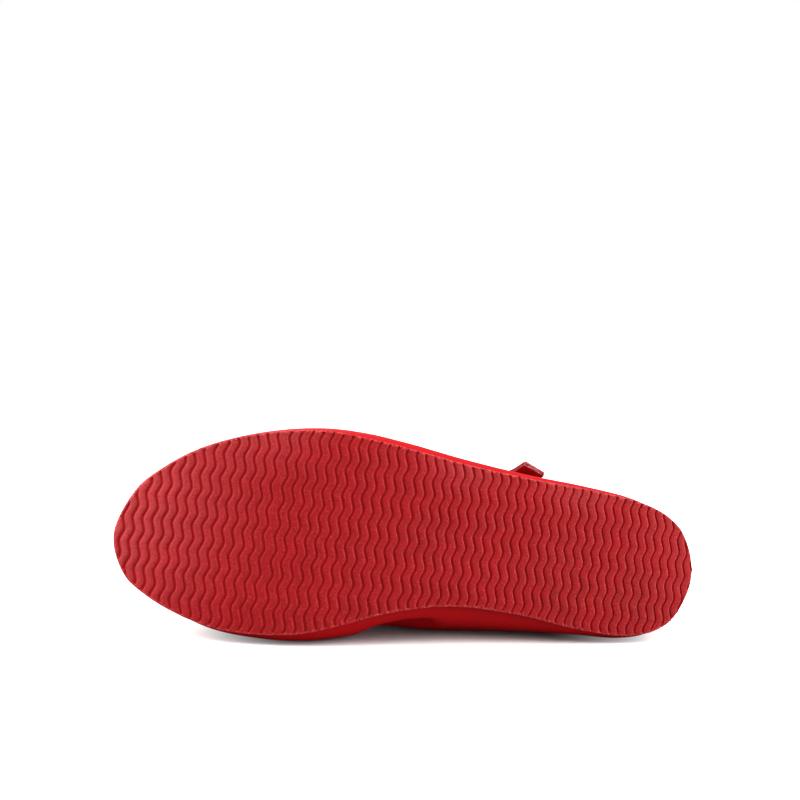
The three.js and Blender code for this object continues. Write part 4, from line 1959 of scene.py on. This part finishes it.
@dataclass
class Studio:
    """Pale floor, even surroundings and soft lights."""

    floor_half: float = 4.0
    floor_drop: float = 0.0002
    floor_seen: tuple[float, float, float, float] = (1.35, 1.35, 1.35, 1.0)
    floor_lit: tuple[float, float, float, float] = (0.35, 0.35, 0.35, 1.0)
    floor_roughness: float = 0.9
    floor_specular: float = 0.1
    contact_samples: int = 8
    contact_reach: float = 0.03
    contact: Ramp = Ramp(0.1, 0.5, 0.35, 1.0)
    fade: Ramp = Ramp(0.14, 0.36, 0.0, 1.0)
    fade_stretch: tuple[float, float, float] = (2.6, 1.0, 1.0)
    fade_shift: tuple[float, float, float] = (-0.021, 0.0, 0.0)
    surround: float = 0.25
    lights: tuple[SoftLight, ...] = (
        SoftLight("overhead", (0.05, -0.15, 0.8), 0.9, 4.6),
        SoftLight("backdrop", (-0.3, 1.2, 0.6), 1.4, 5.0),
        SoftLight("toe_side", (-1.0, 0.05, 0.45), 0.9, 14.0),
        SoftLight("heel_side", (1.0, -0.45, 0.45), 0.9, 10.5),
    )

    def build(self) -> None:
        """Makes the floor, the surroundings and the lights."""
        half, low = self.floor_half, -self.floor_drop
        corners = [(-half, -half, low), (half, -half, low), (half, half, low), (-half, half, low)]
        data = bpy.data.meshes.new("floor")
        data.from_pydata(corners, [], [(0, 1, 2, 3)])
        data.materials.append(self.floor_material())
        linked("floor", data)
        world = bpy.data.worlds.new("surroundings")
        bpy.context.scene.world = world
        world.use_nodes = True
        self.surroundings(world.node_tree)
        for light in self.lights:
            light.build()
        settings = bpy.context.scene.view_settings
        settings.view_transform = "Standard"
        settings.look = "None"

    def floor_material(self) -> bpy.types.Material:
        """Pale floor that fades to white away from the shoe by a painted glow seen only by the camera, and
        throws back less light than it shows; painted contact shadow darkens it near the shoe.

        Returns:
            The material.
        """
        material, nodes, shader = new_material("pale_floor")
        shader.inputs["Roughness"].default_value = self.floor_roughness
        shader.inputs["Specular IOR Level"].default_value = self.floor_specular
        shader.inputs["Emission Color"].default_value = (1.0, 1.0, 1.0, 1.0)
        seen = nodes.add("ShaderNodeLightPath").outputs["Is Camera Ray"]
        pale = nodes.mix(seen, self.floor_lit, self.floor_seen)
        # Painted contact shadow: the floor's colour darkens where the shoe is near.
        reach = {"Distance": self.contact_reach}
        near = nodes.add("ShaderNodeAmbientOcclusion", reach, samples=self.contact_samples).outputs["AO"]
        shade = nodes.ramp(near, *self.contact)
        nodes.link(nodes.mix(1.0, pale, shade, "MULTIPLY"), shader.inputs["Base Color"])
        # Painted glow: for the camera the floor turns white away from the shoe.
        place = nodes.add("ShaderNodeTexCoord").outputs["Object"]
        spread = {0: place, 1: self.fade_stretch, 2: self.fade_shift}
        spread_place = nodes.add("ShaderNodeVectorMath", spread, operation="MULTIPLY_ADD").outputs["Vector"]
        away = nodes.add("ShaderNodeVectorMath", {0: spread_place}, operation="LENGTH").outputs["Value"]
        glow = nodes.math("MULTIPLY", nodes.ramp(away, *self.fade), seen)
        nodes.link(glow, shader.inputs["Emission Strength"])
        return material

    def surroundings(self, tree: bpy.types.NodeTree) -> None:
        """White behind the shoe, softer as light.

        Args:
            tree: The world's node tree.
        """
        nodes = NodeBuilder(tree)
        seen = nodes.add("ShaderNodeLightPath").outputs["Is Camera Ray"]
        strength = nodes.ramp(seen, 0.0, 1.0, self.surround, 1.0)
        back = tree.nodes["Background"]
        back.inputs["Color"].default_value = (1.0, 1.0, 1.0, 1.0)
        nodes.link(strength, back.inputs["Strength"])


@dataclass(frozen=True)
class PhotoCamera:
    """Camera at the photograph's angle to the shoe: eye, aim and upright in the shoe's axes."""

    eye: tuple[float, float, float] = (257.99, 25.63, -452.98)
    aim: tuple[float, float, float] = (145.31, 56.90, 0.0)
    upright: tuple[float, float, float] = (0.1514, 0.988, -0.0305)
    lens: float = 50.0
    sensor: float = 36.0
    clip_start: float = 0.01

    def build(self, frame: ShoeFrame) -> None:
        """Makes the camera and puts it to use.

        Args:
            frame: Place of the shoe.
        """
        eye, aim = frame.place(np.array([self.eye, self.aim]))
        back = unit(eye - aim)
        right = unit(np.cross(frame.direct(np.array(self.upright)), back))
        turn = Matrix(np.column_stack([right, np.cross(back, right), back]).tolist()).to_4x4()
        data = bpy.data.cameras.new("photo_camera")
        data.lens = self.lens
        data.sensor_width = self.sensor
        data.clip_start = self.clip_start
        camera = linked("photo_camera", data)
        camera.matrix_world = Matrix.Translation(Vector(eye)) @ turn
        bpy.context.scene.camera = camera


def main() -> None:
    """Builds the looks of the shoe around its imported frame."""
    logging.basicConfig(level=logging.INFO, format="%(name)s %(message)s")
    bpy.ops.wm.read_factory_settings(use_empty=True)
    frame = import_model()
    shoe = ShoeFrame.from_record(frame["record"])
    PhotoCamera().build(shoe)
    Studio().build()
    materials = Materials(Effects())
    last = Last()
    Outsole(shoe, last, materials).build()
    Upper(shoe, last, materials).build()
    Insole(shoe, last, materials).build()
    Strap(shoe, materials).build()


if __name__ == "__main__":
    main()
